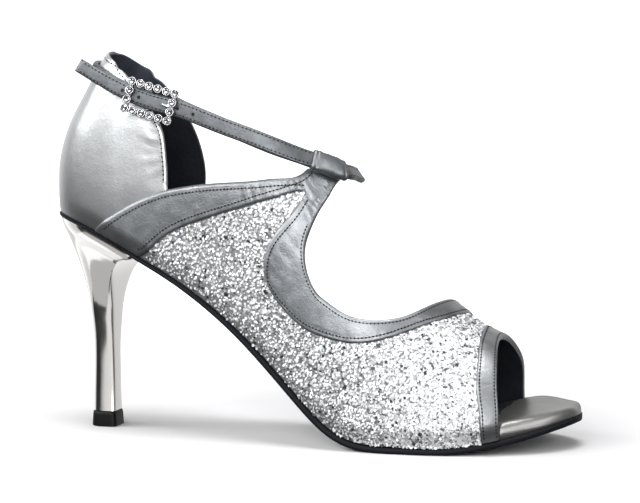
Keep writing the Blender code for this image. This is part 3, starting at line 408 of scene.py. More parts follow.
def wall(a, girth):
    """Surface points of the last, one row for each chart point."""
    a = np.asarray(a, float)
    girth = np.asarray(girth, float)
    inner = a <= -2 * QUARTER
    x = np.where(inner, SEAT_X - 2 * QUARTER - a, SEAT_X + np.maximum(a, 0.0))
    y, height = section(x, np.where(inner, 2 - girth, girth))
    z = feather_height(x) + height
    around = (a < 0) & ~inner
    if around.any():
        turn = turn_at(a[around])
        flank, rise = section(np.full(turn.shape, SEAT_X), girth[around])
        seat_length = SEAT_X - HEEL_BACK_X
        length = seat_length * (1 - back_lean(rise / COUNTER_HEIGHT))
        centre = plan_centre(SEAT_X)
        wx, wy = seat_outline(turn, length, np.abs(flank - centre))
        seat_x = seat_outline(turn, seat_length, SEAT_WIDTH / 2)[0]
        x[around] = wx
        y[around] = centre + wy
        z[around] = feather_height(seat_x) + rise
    return np.stack([x, y, z], 1)


def unit(v):
    return v / np.maximum(np.linalg.norm(v, axis=-1, keepdims=True), 1e-12)


def wall_normal(a, girth):
    girth = np.minimum(girth, GIRTH_END)
    along = wall(a + NORMAL_REACH, girth) - wall(a - NORMAL_REACH, girth)
    up = wall(a, girth + GIRTH_REACH) - wall(a, np.maximum(girth - GIRTH_REACH, 0.0))
    return unit(np.cross(along, up))


def girth_at(place, height):
    share = np.clip(height / section_rise(x_of(place)), 0.0, 1.0)
    power = section_power(place)
    return float(np.arctan2(share ** (power / 2), max(1 - share**power, 0.0) ** 0.5) / (pi / 2))


# Lines and areas in the chart
def chart(place, girth):
    a = QUARTER * place if place < 0 else (place - WIDEST_SEAT) * SHOE_LENGTH
    return a, girth * GIRTH_LENGTH


def panel_line(points, step=LINE_STEP):
    points = np.array(points)
    lengths = running_length(points)
    count = max(ceil(lengths[-1] / step), 1)
    t = np.linspace(0, lengths[-1], count + 1)
    line = np.stack([spline(lengths, points[:, 0])(t), spline(lengths, points[:, 1])(t)], 1)
    line[0] = points[0]
    line[-1] = points[-1]
    return line


def rows_line(rows):
    return panel_line([chart(*row) for row in rows])


def straight_line(start, end):
    count = max(ceil(hypot(end[0] - start[0], end[1] - start[1]) / LINE_STEP), 1)
    share = np.linspace(0, 1, count + 1)[:, None]
    return np.array(start) * (1 - share) + np.array(end) * share


def join(*lines):
    return np.concatenate([lines[0]] + [line[1:] for line in lines[1:]])


def collar_points():
    points = [chart(place, girth_at(place, share * COUNTER_HEIGHT)) for place, share in COLLAR_OUTER]
    points[0] = chart(*BAND_UPPER[0])
    for turn, share in COLLAR_BACK:
        points.append(chart(turn, girth_at(WIDEST_SEAT, share * COUNTER_HEIGHT)))
    for place, share in COLLAR_INNER:
        girth = girth_at(place, share * COUNTER_HEIGHT)
        points.append((-2 * QUARTER - chart(place, 0.0)[0], girth * GIRTH_LENGTH))
    return points


COLLAR = panel_line(collar_points())
REAR = rows_line(BAND_REAR)
UPPER = rows_line(BAND_UPPER)
LOWER = rows_line(BAND_LOWER)
SEAM_LINE = rows_line(SEAM)
TAB = join(rows_line(TAB_FRONT)[::-1], rows_line(TAB_TOP)[::-1])
THROAT_LINE = panel_line([chart(*SEAM[-1])] + [chart(*row) for row in THROAT])
BINDING_LINE = panel_line([chart(*SEAM[0])] + [chart(*row) for row in BINDING])
FRONT_LINE = rows_line(TOE_FRONT)
TOE_LINE = rows_line(TOE_REAR)
FEATHER_STOPS = [COLLAR[-1], REAR[0], LOWER[0], TOE_LINE[0], FRONT_LINE[0]]
FEATHER = [straight_line(p, q) for p, q in zip(FEATHER_STOPS, FEATHER_STOPS[1:])]
INNER_STOPS = [FRONT_LINE[-1], TOE_LINE[-1], BINDING_LINE[-1], THROAT_LINE[-1]]
INNER = [straight_line(p, q) for p, q in zip(INNER_STOPS, INNER_STOPS[1:])]

UPPER_AREA = join(*FEATHER, FRONT_LINE, *INNER, THROAT_LINE[::-1], TAB, UPPER[::-1], COLLAR)[:-1]
COUNTER_AREA = join(FEATHER[0], REAR, COLLAR)[:-1]
BAND_AREA = join(FEATHER[1], LOWER, SEAM_LINE, TAB, UPPER[::-1], REAR[::-1])[:-1]
BINDING_AREA = join(BINDING_LINE, INNER[2], THROAT_LINE[::-1], SEAM_LINE[::-1])[:-1]
TOE_AREA = join(FEATHER[3], FRONT_LINE, INNER[0], TOE_LINE[::-1])[:-1]


def inside(points, outline):
    """Which chart points lie in a closed outline."""
    found = np.zeros(len(points), bool)
    x = points[:, 0]
    y = points[:, 1]
    for (x0, y0), (x1, y1) in zip(outline, np.roll(outline, -1, axis=0)):
        if y0 != y1:
            crosses = ((y0 > y) != (y1 > y)) & (x < x0 + (y - y0) / (y1 - y0) * (x1 - x0))
            found ^= crosses
    return found


def distance(points, line, closed=False):
    """Distance from chart points to a line."""
    ends = np.roll(line, -1, axis=0) if closed else line[1:]
    starts = line if closed else line[:-1]
    best = np.full(len(points), np.inf)
    for start, end in zip(starts, ends):
        run = end - start
        share = np.clip(((points - start) @ run) / max(run @ run, 1e-18), 0, 1)
        best = np.minimum(best, ((points - start - share[:, None] * run) ** 2).sum(1))
    return np.sqrt(best)


def lattice(outline, step):
    low = outline.min(axis=0)
    high = outline.max(axis=0)
    rows = []
    row_step = step * 3**0.5 / 2
    for row in range(int((high[1] - low[1]) / row_step) + 1):
        x = np.arange(low[0] + 0.5 * (row % 2) * step, high[0], step)
        rows.append(np.stack([x, np.full(len(x), low[1] + row * row_step)], 1))
    return np.concatenate(rows)


def border_rings(outline, depths):
    """Points a little inside an outline, one ring for each depth."""
    area = (outline * np.roll(outline, -1, axis=0)[:, ::-1] * [1, -1]).sum()
    run = np.roll(outline, -1, axis=0) - np.roll(outline, 1, axis=0)
    inward = unit(np.stack([-run[:, 1], run[:, 0]], 1)) * (1 if area > 0 else -1)
    kept = []
    for depth in depths:
        ring = outline + inward * depth
        ring = ring[inside(ring, outline)]
        kept.append(ring[distance(ring, outline, True) > depth * 0.85])
    return np.concatenate(kept)


def divide(outline, step, depths=(0.12 * MM, 0.35 * MM, 0.85 * MM)):
    """Chart points and triangles that fill an outline."""
    rings = border_rings(outline, depths)
    grid = lattice(outline, step)
    grid = grid[inside(grid, outline)]
    grid = grid[distance(grid, outline, True) > depths[-1] + 0.5 * step]
    count = len(outline)
    edges = [(i, (i + 1) % count) for i in range(count)]
    points = np.concatenate([outline, rings, grid])
    found = delaunay_2d_cdt([Vector(p) for p in points], edges, [], 0, 0.01 * MM)
    spots = np.array([tuple(v) for v in found[0]])
    faces = np.array([tuple(f) for f in found[2]])
    faces = faces[inside(spots[faces].mean(axis=1), outline)]
    return spots, faces


# Meshes and materials
def make_piece(name, vertices, faces, materials, replaces=(), slot=None, flat=False, marks=None):
    """A visible piece on the root body; marks are the material numbers of its faces."""
    mesh = bpy.data.meshes.new(name)
    mesh.from_pydata(np.asarray(vertices).tolist(), [], [tuple(int(i) for i in f) for f in faces])
    for surface in materials:
        mesh.materials.append(surface)
    if marks is not None:
        mesh.polygons.foreach_set("material_index", np.asarray(marks, np.int32))
    if not flat:
        mesh.shade_smooth()
    mesh.update()
    piece = bpy.data.objects.new(name, mesh)
    bpy.context.scene.collection.objects.link(piece)
    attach(piece, "root")
    if replaces:
        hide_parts(*replaces)
    return piece


def ring_faces(rings, count, close=False, joined=False):
    """Quads between rings of points; the ends stay open, get a face each or are joined."""
    faces = []
    for i in range(rings if joined else rings - 1):
        low = i * count
        high = (i + 1) % rings * count
        for j in range(count):
            k = (j + 1) % count
            faces.append((low + j, high + j, high + k, low + k))
    if close:
        faces.append(tuple(range(count)))
        faces.append(tuple((rings - 1) * count + j for j in range(count))[::-1])
    return faces


def face_out(piece):
    shape = bmesh.new()
    shape.from_mesh(piece.data)
    bmesh.ops.recalc_face_normals(shape, faces=shape.faces)
    if shape.calc_volume(signed=True) < 0:
        bmesh.ops.reverse_faces(shape, faces=shape.faces)
    shape.to_mesh(piece.data)
    shape.free()


def ring_piece(name, rings, materials, close=True, joined=False, **words):
    points = [p for ring in rings for p in ring]
    faces = ring_faces(len(rings), len(rings[0]), close, joined)
    piece = make_piece(name, points, faces, materials, **words)
    face_out(piece)
    return piece


def feed(node, values):
    """Set a node's inputs to numbers or colours, or link them to the sockets that drive them."""
    for name, value in values.items():
        if isinstance(value, bpy.types.NodeSocket):
            node.id_data.links.new(value, node.inputs[name])
        else:
            node.inputs[name].default_value = value


def add_node(tree, kind, values, **settings):
    node = tree.nodes.new("ShaderNode" + kind)
    for name, setting in settings.items():
        setattr(node, name, setting)
    feed(node, values)
    return node


def add_relief(tree, place, bumps):
    """Layers of bumps, each over the one before."""
    normal = None
    for kind, scale, height in bumps:
        pebbled = kind == "pebble"
        if pebbled:
            values = {"Vector": place, "Scale": scale, "Smoothness": 0.6}
            pattern = add_node(tree, "TexVoronoi", values, feature="SMOOTH_F1").outputs["Distance"]
        else:
            values = {"Vector": place, "Scale": scale, "Detail": 4.0}
            pattern = add_node(tree, "TexNoise", values).outputs["Fac"]
        values = {"Strength": 1.0, "Distance": height, "Height": pattern}
        bump = add_node(tree, "Bump", values, invert=pebbled)
        if normal is not None:
            feed(bump, {"Normal": normal})
        normal = bump.outputs["Normal"]
    return normal


def add_mottle(tree, place, colour, mottle, scale):
    """Cloudy lighter and darker spots of a colour."""
    noise = add_node(tree, "TexNoise", {"Vector": place, "Scale": scale, "Detail": 5.0})
    ramp = add_node(tree, "ValToRGB", {"Fac": noise.outputs["Fac"]})
    for stop, position, share in zip(ramp.color_ramp.elements, (0.35, 0.65), (1 - mottle, 1 + mottle)):
        stop.position = position
        stop.color = (*(min(c * share, 1.0) for c in colour), 1.0)
    return ramp.outputs["Color"]


def add_painted_shade(tree, place, colour, low, high, left):
    """Painted shade: darken a colour below a height, down to the share that is left."""
    split = add_node(tree, "SeparateXYZ", {"Vector": place})
    values = {"From Min": low, "From Max": high, "To Min": left, "Value": split.outputs["Z"]}
    level = add_node(tree, "MapRange", values, interpolation_type="SMOOTHSTEP")
    values = {"Factor": 1.0, "A": colour, "B": level.outputs["Result"]}
    return add_node(tree, "Mix", values, data_type="RGBA", blend_type="MULTIPLY").outputs["Result"]


def material(
    name, colour, roughness, metallic=0.0, coat=0.0, bumps=(), mottle=0.0, mottle_scale=60.0, fade=None
):
    """A surface; bumps are (kind, features per metre, height in metres).

    fade is painted shade, darker towards the bottom: (low height, high height, share of the colour that is
    left at the low one).
    """
    made = bpy.data.materials.new(name)
    made.use_nodes = True
    tree = made.node_tree
    shader = tree.nodes["Principled BSDF"]
    feed(shader, {"Base Color": (*colour, 1.0), "Roughness": roughness, "Metallic": metallic})
    feed(shader, {"Coat Weight": coat, "Coat Roughness": 0.25})
    place = add_node(tree, "TexCoord", {}).outputs["Object"]
    if bumps:
        feed(shader, {"Normal": add_relief(tree, place, bumps)})
    if mottle:
        shown = add_mottle(tree, place, colour, mottle, mottle_scale)
        if fade:
            shown = add_painted_shade(tree, place, shown, *fade)
        feed(shader, {"Base Color": shown})
    return made


PEBBLE = (("pebble", 1700.0, 0.045 * MM), ("noise", 1500.0, 0.04 * MM), ("noise", 160.0, 0.20 * MM))
FINE_GRAIN = (("pebble", 2200.0, 0.05 * MM), ("noise", 900.0, 0.06 * MM), ("noise", 200.0, 0.15 * MM))
SOFT_PEBBLE = (("pebble", 1700.0, 0.028 * MM), ("noise", 1500.0, 0.024 * MM), ("noise", 160.0, 0.11 * MM))
GROUND_GRAIN = (("pebble", 1100.0, 0.2 * MM),)
LINING_GRAIN = (("noise", 900.0, 0.15 * MM),)
SOLE_GRAIN = (("noise", 1500.0, 0.06 * MM),)
# Painted shade: the counter's silver and the lining are darker towards their bottoms; low height, high
# height, share left
COUNTER_PAINTED_SHADE = (0.086, 0.108, 0.62)
LINING_PAINTED_SHADE = (0.120, 0.148, 0.28)

SILVER = material(
    "silver_leather", (0.73, 0.745, 0.76), 0.34, 0.85, bumps=SOFT_PEBBLE, mottle=0.05, fade=COUNTER_PAINTED_SHADE
)
PEWTER = material(
    "pewter_leather", (0.305, 0.32, 0.335), 0.41, 0.85, bumps=FINE_GRAIN, mottle=0.16, mottle_scale=170.0
)
TOE_PEWTER = material(
    "toe_leather", (0.31, 0.32, 0.33), 0.40, 0.85, bumps=PEBBLE, mottle=0.12, mottle_scale=150.0
)
STRAP_METAL = material(
    "strap_leather", (0.15, 0.16, 0.17), 0.42, 0.85, bumps=FINE_GRAIN, mottle=0.12, mottle_scale=300.0
)
LINING = material(
    "lining_leather", (0.060, 0.068, 0.090), 0.42, 0.0, coat=0.3, bumps=LINING_GRAIN,
    mottle=0.25, mottle_scale=90.0, fade=LINING_PAINTED_SHADE,
)
GLITTER_BASE = material("glitter_ground", (0.34, 0.345, 0.35), 0.5, 0.4, bumps=GROUND_GRAIN)
PLATFORM = material("platform_leather", (0.26, 0.257, 0.252), 0.38, 0.85, bumps=PEBBLE, mottle=0.06)
SOLE_BLACK = material("sole_black", (0.008, 0.009, 0.012), 0.6, 0.0, bumps=SOLE_GRAIN)
CHROME = material("heel_plating", (0.86, 0.84, 0.82), 0.13, 1.0)
TIP_BLACK = material("tip_black", (0.005, 0.005, 0.006), 0.45)
BUCKLE_METAL = material("buckle_metal", (0.16, 0.16, 0.165), 0.25, 1.0)
CUP_METAL = material("stone_cup", (0.86, 0.86, 0.87), 0.24, 1.0)
STONE = material("stone", (0.93, 0.94, 0.96), 0.04, 0.95)
# Painted reflection: the dark facets of the stones stand for the dark studio seen in them
STONE_PAINTED_DARK_REFLECTION = material("stone_painted_dark_reflection", (0.22, 0.225, 0.24), 0.10, 0.9)
THREAD = material("thread", (0.11, 0.115, 0.12), 0.55, 0.3)
# Painted shade: near-black for the shade inside stitch holes and the strap's holes
HOLE_PAINTED_SHADE = material("stitch_hole_painted_shade", (0.010, 0.011, 0.012), 0.8)
# Glitter: one silver flake in lit and shaded copies; painted highlight on the white ones, painted dim and
# dark reflections on the grey and dark ones
FLAKES = [
    material("flake_painted_highlight", (0.97, 0.98, 0.99), 0.45, 0.05),
    material("flake_silver", (0.90, 0.92, 0.94), 0.32, 0.40),
    material("flake_painted_dim_reflection", (0.46, 0.48, 0.50), 0.30, 0.60),
    material("flake_painted_dark_reflection", (0.09, 0.10, 0.11), 0.3, 0.6),
]
for dull in (TIP_BLACK, SOLE_BLACK):
    feed(dull.node_tree.nodes["Principled BSDF"], {"Specular IOR Level": 0.2})


# Sheets of leather on the last
CREASE_SHARE = 0.7
CREASE_ENDS = 0.35
CREASE_LEAST = 0.25


def over_wall(spots, height):
    """Points at a height over chart points, and the wall's normals there."""
    girth = spots[:, 1] / GIRTH_LENGTH
    normal = wall_normal(spots[:, 0], girth)
    return wall(spots[:, 0], girth) + normal * np.reshape(height, (-1, 1)), normal


def roll(d, radius):
    """Share of full height at a distance from a rounded edge."""
    t = np.clip(d / radius, 0, 1)
    return np.sqrt(1 - (1 - t) ** 2)


def troughs(points, rows):
    """Depth of soft creases, which fade towards their ends."""
    depth = np.zeros(len(points))
    for places, deep, wide in rows:
        line = panel_line([chart(*place) for place in places], 2 * MM)
        near = distance(points, line)
        far = np.minimum(np.hypot(*(points - line[0]).T), np.hypot(*(points - line[-1]).T))
        ends = smooth(far / (CREASE_ENDS * running_length(line)[-1]))
        shape = np.exp(-((near / (wide * MM)) ** 2)) * (CREASE_LEAST + (1 - CREASE_LEAST) * ends)
        depth += deep * MM * shape
    return depth


def sheet(name, outline, top, bottom, radius, materials, step=LATTICE, creases=(), grooves=(), **words):
    """Leather over an outline, with rounded edges; grooves are (line, inset, depth, width)."""
    spots, faces = divide(outline, step)
    edge = distance(spots, outline, True)
    height = bottom + (top - bottom) * roll(edge, radius)
    height -= CREASE_SHARE * troughs(spots, creases) * roll(edge, 2 * MM)
    for line, inset, depth, width in grooves:
        height -= depth * np.exp(-(((distance(spots, line) - inset) / width) ** 2))
    if top < 0:
        faces = faces[:, ::-1]
    return make_piece(name, over_wall(spots, height)[0], faces, materials, **words), spots, faces


# Creases: two or three places (place, girth), depth and width in mm
# On the counter they fan out from its front edge under the buckle
COUNTER_CREASES = [
    ([(0.244, 0.285), (0.222, 0.262), (0.196, 0.262)], 0.45, 1.3),
    ([(0.245, 0.262), (0.220, 0.238), (0.190, 0.232)], 0.40, 1.2),
    ([(0.246, 0.240), (0.226, 0.214), (0.200, 0.200)], 0.38, 1.2),
    ([(0.246, 0.218), (0.230, 0.190), (0.212, 0.172)], 0.32, 1.1),
    ([(0.240, 0.300), (0.222, 0.292), (0.203, 0.300)], 0.40, 1.2),
    ([(0.232, 0.318), (0.216, 0.316), (0.196, 0.330)], 0.35, 1.2),
    ([(0.224, 0.335), (0.206, 0.336), (0.184, 0.352)], 0.35, 1.2),
    ([(0.150, 0.372), (0.140, 0.352), (-0.06, 0.330)], 0.35, 1.6),
    ([(0.170, 0.362), (0.160, 0.338), (0.150, 0.312)], 0.30, 1.4),
    ([(0.244, 0.200), (0.236, 0.180), (0.226, 0.160)], 0.20, 0.9),
]
# On the quarter band: short folds below the tab and gathers under the loop
BAND_CREASES = [
    ([(0.360, 0.262), (0.364, 0.238)], 0.22, 1.2),
    ([(0.392, 0.296), (0.398, 0.262)], 0.25, 1.2),
    ([(0.410, 0.326), (0.418, 0.290)], 0.28, 1.1),
    ([(0.428, 0.360), (0.436, 0.326)], 0.30, 1.0),
    ([(0.444, 0.396), (0.452, 0.362)], 0.32, 1.0),
    ([(0.458, 0.430), (0.466, 0.402)], 0.34, 1.0),
    ([(0.470, 0.468), (0.480, 0.438)], 0.36, 0.9),
    ([(0.481, 0.504), (0.491, 0.470)], 0.38, 0.9),
    ([(0.491, 0.538), (0.501, 0.506)], 0.40, 0.9),
    ([(0.500, 0.575), (0.514, 0.556), (0.530, 0.580)], 0.45, 1.0),
    ([(0.506, 0.610), (0.522, 0.602), (0.540, 0.640)], 0.40, 1.0),
    ([(0.512, 0.640), (0.528, 0.650), (0.546, 0.716)], 0.35, 1.0),
    ([(0.300, 0.190), (0.322, 0.180), (0.340, 0.196)], 0.14, 1.6),
    ([(0.250, 0.130), (0.280, 0.150), (0.310, 0.158)], 0.12, 2.0),
]
# On the throat binding: gathers at the seam and short folds across its bend
BINDING_CREASES = [
    ([(0.516, 0.540), (0.530, 0.556)], 0.30, 0.9),
    ([(0.518, 0.520), (0.534, 0.530)], 0.30, 0.9),
    ([(0.508, 0.480), (0.524, 0.476)], 0.22, 1.0),
    ([(0.480, 0.330), (0.512, 0.352)], 0.16, 1.2),
    ([(0.462, 0.262), (0.500, 0.296)], 0.16, 1.2),
    ([(0.456, 0.214), (0.490, 0.250)], 0.16, 1.2),
    ([(0.450, 0.180), (0.486, 0.214)], 0.15, 1.2),
    ([(0.600, 0.268), (0.604, 0.318)], 0.15, 1.4),
    ([(0.630, 0.300), (0.636, 0.356)], 0.15, 1.4),
]
TOE_CREASES = [
    ([(0.852, 0.13), (0.868, 0.17)], 0.12, 0.8),
    ([(0.850, 0.21), (0.870, 0.25)], 0.14, 0.8),
    ([(0.846, 0.30), (0.868, 0.33)], 0.14, 0.8),
    ([(0.842, 0.40), (0.864, 0.42)], 0.12, 0.8),
    ([(0.838, 0.52), (0.860, 0.55)], 0.12, 0.8),
]

RIM_DEPTH = -0.8 * WALL
TRIM_DEPTH = -WALL / 2
TRIM_ROUND = 0.6 * MM
TRIM_STEP = 0.9 * MM
LINING_STEP = 1.8 * MM
STITCH_INSET = 1.5 * MM
TOE_INSET = 1.3 * MM
FRONT_INSET = 1.2 * MM
HEM_INSET = 1.9 * MM
BAND_LINE = join(REAR, UPPER)
TRIM_AREA = join(
    BINDING_LINE, INNER[2], THROAT_LINE[::-1], TAB, UPPER[::-1], REAR[::-1], FEATHER[1], LOWER
)[:-1]
# The hem runs down the tab's front and this far along the throat, in steps of the line
HEM_STEPS = 18
TRIM_GROOVES = [
    (LOWER, STITCH_INSET, 0.22 * MM, 0.4 * MM),
    (BINDING_LINE, STITCH_INSET, 0.22 * MM, 0.4 * MM),
    (BAND_LINE, STITCH_INSET, 0.15 * MM, 0.4 * MM),
    (SEAM_LINE, 0.0, 0.10 * MM, 0.4 * MM),
    (rows_line(TAB_FRONT), HEM_INSET, 0.35 * MM, 0.3 * MM),
    (THROAT_LINE[:HEM_STEPS], HEM_INSET, 0.35 * MM, 0.3 * MM),
]
TOE_GROOVES = [(TOE_LINE, TOE_INSET, 0.25 * MM, 0.35 * MM), (FRONT_LINE, FRONT_INSET, 0.20 * MM, 0.35 * MM)]


def make_shell():
    """The leather wall: silver on the counter, the glitter's ground on the vamp."""
    shell, spots, faces = sheet(
        "shell", UPPER_AREA, 0.0, RIM_DEPTH, 0.9 * MM, [SILVER, GLITTER_BASE],
        creases=COUNTER_CREASES, replaces=("upper",), slot="silver_leather",
    )
    middles = spots[faces].mean(axis=1)
    above_band = distance(middles, BAND_LINE) < distance(middles, LOWER)
    in_counter = inside(middles, COUNTER_AREA) | (inside(middles, BAND_AREA) & above_band)
    shell.data.polygons.foreach_set("material_index", (~in_counter).astype(np.int32))


make_shell()
sheet("lining", UPPER_AREA, -WALL, RIM_DEPTH, 0.3 * MM, [LINING], step=LINING_STEP, slot="dark_lining")
sheet(
    "trim", TRIM_AREA, OVERLAY_TOP, TRIM_DEPTH, TRIM_ROUND, [PEWTER], step=TRIM_STEP,
    creases=BAND_CREASES + BINDING_CREASES, grooves=TRIM_GROOVES,
    replaces=("quarter_band", "throat_binding"), slot="pewter_leather",
)
sheet(
    "toe_trim", TOE_AREA, OVERLAY_TOP, TRIM_DEPTH, TRIM_ROUND, [TOE_PEWTER], step=TRIM_STEP,
    creases=TOE_CREASES, grooves=TOE_GROOVES, replaces=("toe_binding",), slot="pewter_leather",
)

# Glitter, lengths in mm
FLAKE_PITCH = 0.80
FLAKE_JITTER = 0.36
FLAKE_LIFT = (0.10, 0.60)
FLAKE_TILT = 0.24
FLAKE_RADIUS = (0.38, 0.66)
FLAKE_EDGE = 0.5
# Shares of the white, silver, grey and dark flakes; white, grey and dark are painted highlight and painted
# reflections
FLAKE_SHARES = [0.50, 0.30, 0.14, 0.06]
LARGE_SHARE = 0.006
LARGE_RADIUS = 1.0


def disc_mesh(centres, along, across, long, wide, corners):
    """Flat discs, one for each centre."""
    angles = np.arange(corners) * 2 * pi / corners
    points = np.stack([centres + along * (cos(t) * long) + across * (sin(t) * wide) for t in angles], 1)
    return points.reshape(-1, 3), np.arange(len(centres) * corners).reshape(-1, corners)


def make_glitter():
    """Hexagonal flakes strewn over the vamp, joined in one mesh."""
    spots = lattice(UPPER_AREA, FLAKE_PITCH * MM)
    spots = spots + RANDOM.uniform(-FLAKE_JITTER, FLAKE_JITTER, spots.shape) * MM
    shown = inside(spots, UPPER_AREA)
    for covered in (COUNTER_AREA, BAND_AREA, BINDING_AREA, TOE_AREA):
        shown &= ~inside(spots, covered)
    shown &= (spots[:, 1] > FLAKE_EDGE * MM) & (spots[:, 1] < 2 * GIRTH_LENGTH - FLAKE_EDGE * MM)
    spots = spots[shown]
    count = len(spots)
    centre, normal = over_wall(spots, RANDOM.uniform(*FLAKE_LIFT, count) * MM)
    tilt = unit(normal + RANDOM.normal(0, FLAKE_TILT, (count, 3)))
    side = unit(np.cross(tilt, RANDOM.normal(0, 1, (count, 3))))
    radius = RANDOM.uniform(*FLAKE_RADIUS, count) * MM
    large = RANDOM.random(count) < LARGE_SHARE
    radius[large] = LARGE_RADIUS * MM
    radius = radius[:, None]
    points, faces = disc_mesh(centre, side, np.cross(tilt, side), radius, radius, 6)
    # Painted reflection: each flake gets a lit or shaded copy of the silver, the large ones a grey or dark
    # one
    marks = RANDOM.choice(4, count, p=FLAKE_SHARES)
    marks[large] = RANDOM.integers(2, 4, large.sum())
    make_piece("glitter", points, faces, FLAKES, slot="silver_leather", flat=True, marks=marks)


make_glitter()

# Stitches. Form of one: place along it, swell, how far it is sunk, as shares of length and radius
STITCH_FORM = [
    (-0.5, 0.25, 0.35),
    (-0.36, 0.9, 0.0),
    (0.0, 1.1, 0.0),
    (0.36, 0.9, 0.0),
    (0.5, 0.25, 0.35),
]
STITCH_SIDES = 6
# Painted shade: a dark disc stands for the shade in each stitch hole; its two radii, and its lift over the
# leather
STITCH_HOLE_SHADE = (0.44 * MM, 0.36 * MM)
STITCH_HOLE_SHADE_LIFT = 0.05 * MM
STITCHES = {"thread": [], "hole": []}


def stitch_mesh(centres, runs, outs, length, radius):
    """Small rounded stitches, one for each centre."""
    sides = np.cross(outs, runs)
    blocks = []
    for share, swell, sunk in STITCH_FORM:
        base = centres + runs * (share * length) - outs * (sunk * radius)
        for angle in np.arange(STITCH_SIDES) * 2 * pi / STITCH_SIDES:
            blocks.append(base + (sides * cos(angle) + outs * sin(angle)) * (radius * swell))
    points = np.stack(blocks, 1)
    faces = np.array(ring_faces(len(STITCH_FORM), STITCH_SIDES))[:, ::-1]
    first = np.arange(len(centres))[:, None, None] * len(blocks)
    return points.reshape(-1, 3), (first + faces[None]).reshape(-1, 4)


def stitch_points(points, outs, pitch):
    """Even places along a line of points, with run and out vectors."""
    lengths = np.concatenate([[0.0], np.cumsum(np.linalg.norm(np.diff(points, axis=0), axis=1))])
    count = max(int(lengths[-1] / pitch), 1)
    t = (np.arange(count) + 0.5) * lengths[-1] / count

    def at(values, shift=0.0):
        return np.stack([np.interp(t + shift, lengths, values[:, i]) for i in range(3)], 1)

    out = unit(at(outs))
    run = unit(at(points, 0.4 * MM) - at(points, -0.4 * MM))
    run = unit(run - out * (run * out).sum(1)[:, None])
    return at(points), run, out


def add_stitches(points, outs, pitch=1.5 * MM, long=0.75 * MM, thick=0.15 * MM):
    place, run, out = stitch_points(points, outs, pitch)
    STITCHES["thread"].append(stitch_mesh(place, run, out, long, thick))
    # Painted shade: the dark disc in the hole between two stitches
    between = place + run * (pitch / 2) + out * STITCH_HOLE_SHADE_LIFT
    STITCHES["hole"].append(disc_mesh(between, run, np.cross(out, run), *STITCH_HOLE_SHADE, 8))


def stitch_line(line, inset, height, area, **words):
    """A row of stitches beside a chart line, inside an area."""
    run = unit(np.gradient(line, axis=0))
    side = np.stack([-run[:, 1], run[:, 0]], 1)
    if inside(line + side * inset, area).sum() < inside(line - side * inset, area).sum():
        side = -side
    row = line + side * inset
    row = row[inside(row, area) & (distance(row, area, True) > 0.8 * inset)]
    add_stitches(*over_wall(row, height), **words)


ON_TRIM = OVERLAY_TOP - 0.02 * MM
# The throat's stitches start past the hem, in steps of the line
THROAT_START = 24
for line in (BAND_LINE, LOWER, BINDING_LINE):
    stitch_line(line, STITCH_INSET, ON_TRIM, TRIM_AREA)
stitch_line(THROAT_LINE[THROAT_START:], TOE_INSET, ON_TRIM, TRIM_AREA)
stitch_line(TOE_LINE, TOE_INSET, ON_TRIM, TOE_AREA)
stitch_line(FRONT_LINE, FRONT_INSET, ON_TRIM, TOE_AREA)
stitch_line(COLLAR, STITCH_INSET, 0.0, COUNTER_AREA, pitch=1.8 * MM, long=0.9 * MM)


# Ankle strap
class StrapPath:
    """Centre line of the strap and its directions, by the length along it."""

    def __init__(self):
        centres = []
        outs = []
        for place, girth, stand_off in STRAP_LINE:
            centre, normal = over_wall(np.array([chart(place, girth)]), stand_off)
            centres.append(Vector(centre[0]))
            outs.append(Vector(normal[0]))
        self.add_tail(centres, outs)
        chords = [(b - a).length for a, b in zip(centres, centres[1:])]
        self.marks = np.concatenate([[0.0], np.cumsum(chords)])
        self.length = float(self.marks[-1])
        self.buckle = float(self.marks[len(STRAP_LINE) - 1])
        self.lines = [spline(self.marks, [p[i] for p in centres]) for i in range(3)]
        self.outs = [spline(self.marks, [n[i] for n in outs]) for i in range(3)]

    def add_tail(self, centres, outs):
        """The free end: straight under the buckle, then lifted and curled."""
        run = (centres[-1] - centres[-2]).normalized()
        up = run.cross(outs[-1]).normalized()
        lifted = run * cos(TAIL_LIFT) + up * sin(TAIL_LIFT)
        half_lifted = run * cos(TAIL_LIFT / 2) + up * sin(TAIL_LIFT / 2)
        straight = STONE_PITCH * (STONES_LONG - 1) / 2
        bend = centres[-1] + half_lifted * straight
        for share in (0.0, 0.5, 1.0):
            centres.append(bend + lifted * (STRAP_TAIL - straight) * share + up * (TAIL_CURL * share**2))
            outs.append(outs[-1])

    def centre(self, t):
        return Vector([float(line(t)) for line in self.lines])

    def frame(self, t):
        """Centre, run, width and out at a length."""
        reach = 0.5 * MM
        before = self.centre(max(t - reach, 0.0))
        run = (self.centre(min(t + reach, self.length)) - before).normalized()
        out = Vector([float(line(t)) for line in self.outs])
        width = run.cross(out).normalized()
        return self.centre(t), run, width, width.cross(run).normalized()

    def taper(self, t):
        return 1 - TAIL_TAPER * float(smooth((t - self.buckle) / STRAP_TAIL))

    def loop_length(self):
        """Length at which the last run passes LOOP_PLACE."""
        places = [row[0] for row in STRAP_LINE]
        i = max(i for i in range(1, len(places)) if places[i] <= LOOP_PLACE <= places[i - 1])
        share = (LOOP_PLACE - places[i]) / (places[i - 1] - places[i])
        return float(self.marks[i] + (self.marks[i - 1] - self.marks[i]) * share)


PATH = StrapPath()
LOOP_MIDDLE = PATH.loop_length()
LOOP_START = LOOP_MIDDLE - LOOP_LENGTH / 2
LOOP_END = LOOP_MIDDLE + LOOP_LENGTH / 2


# Crown of the strap's face: shares of its half width and half thickness
STRAP_CROWN = [(0.4, 1.04), (0.0, 1.06), (-0.4, 1.04)]
STRAP_EDGE = 0.75


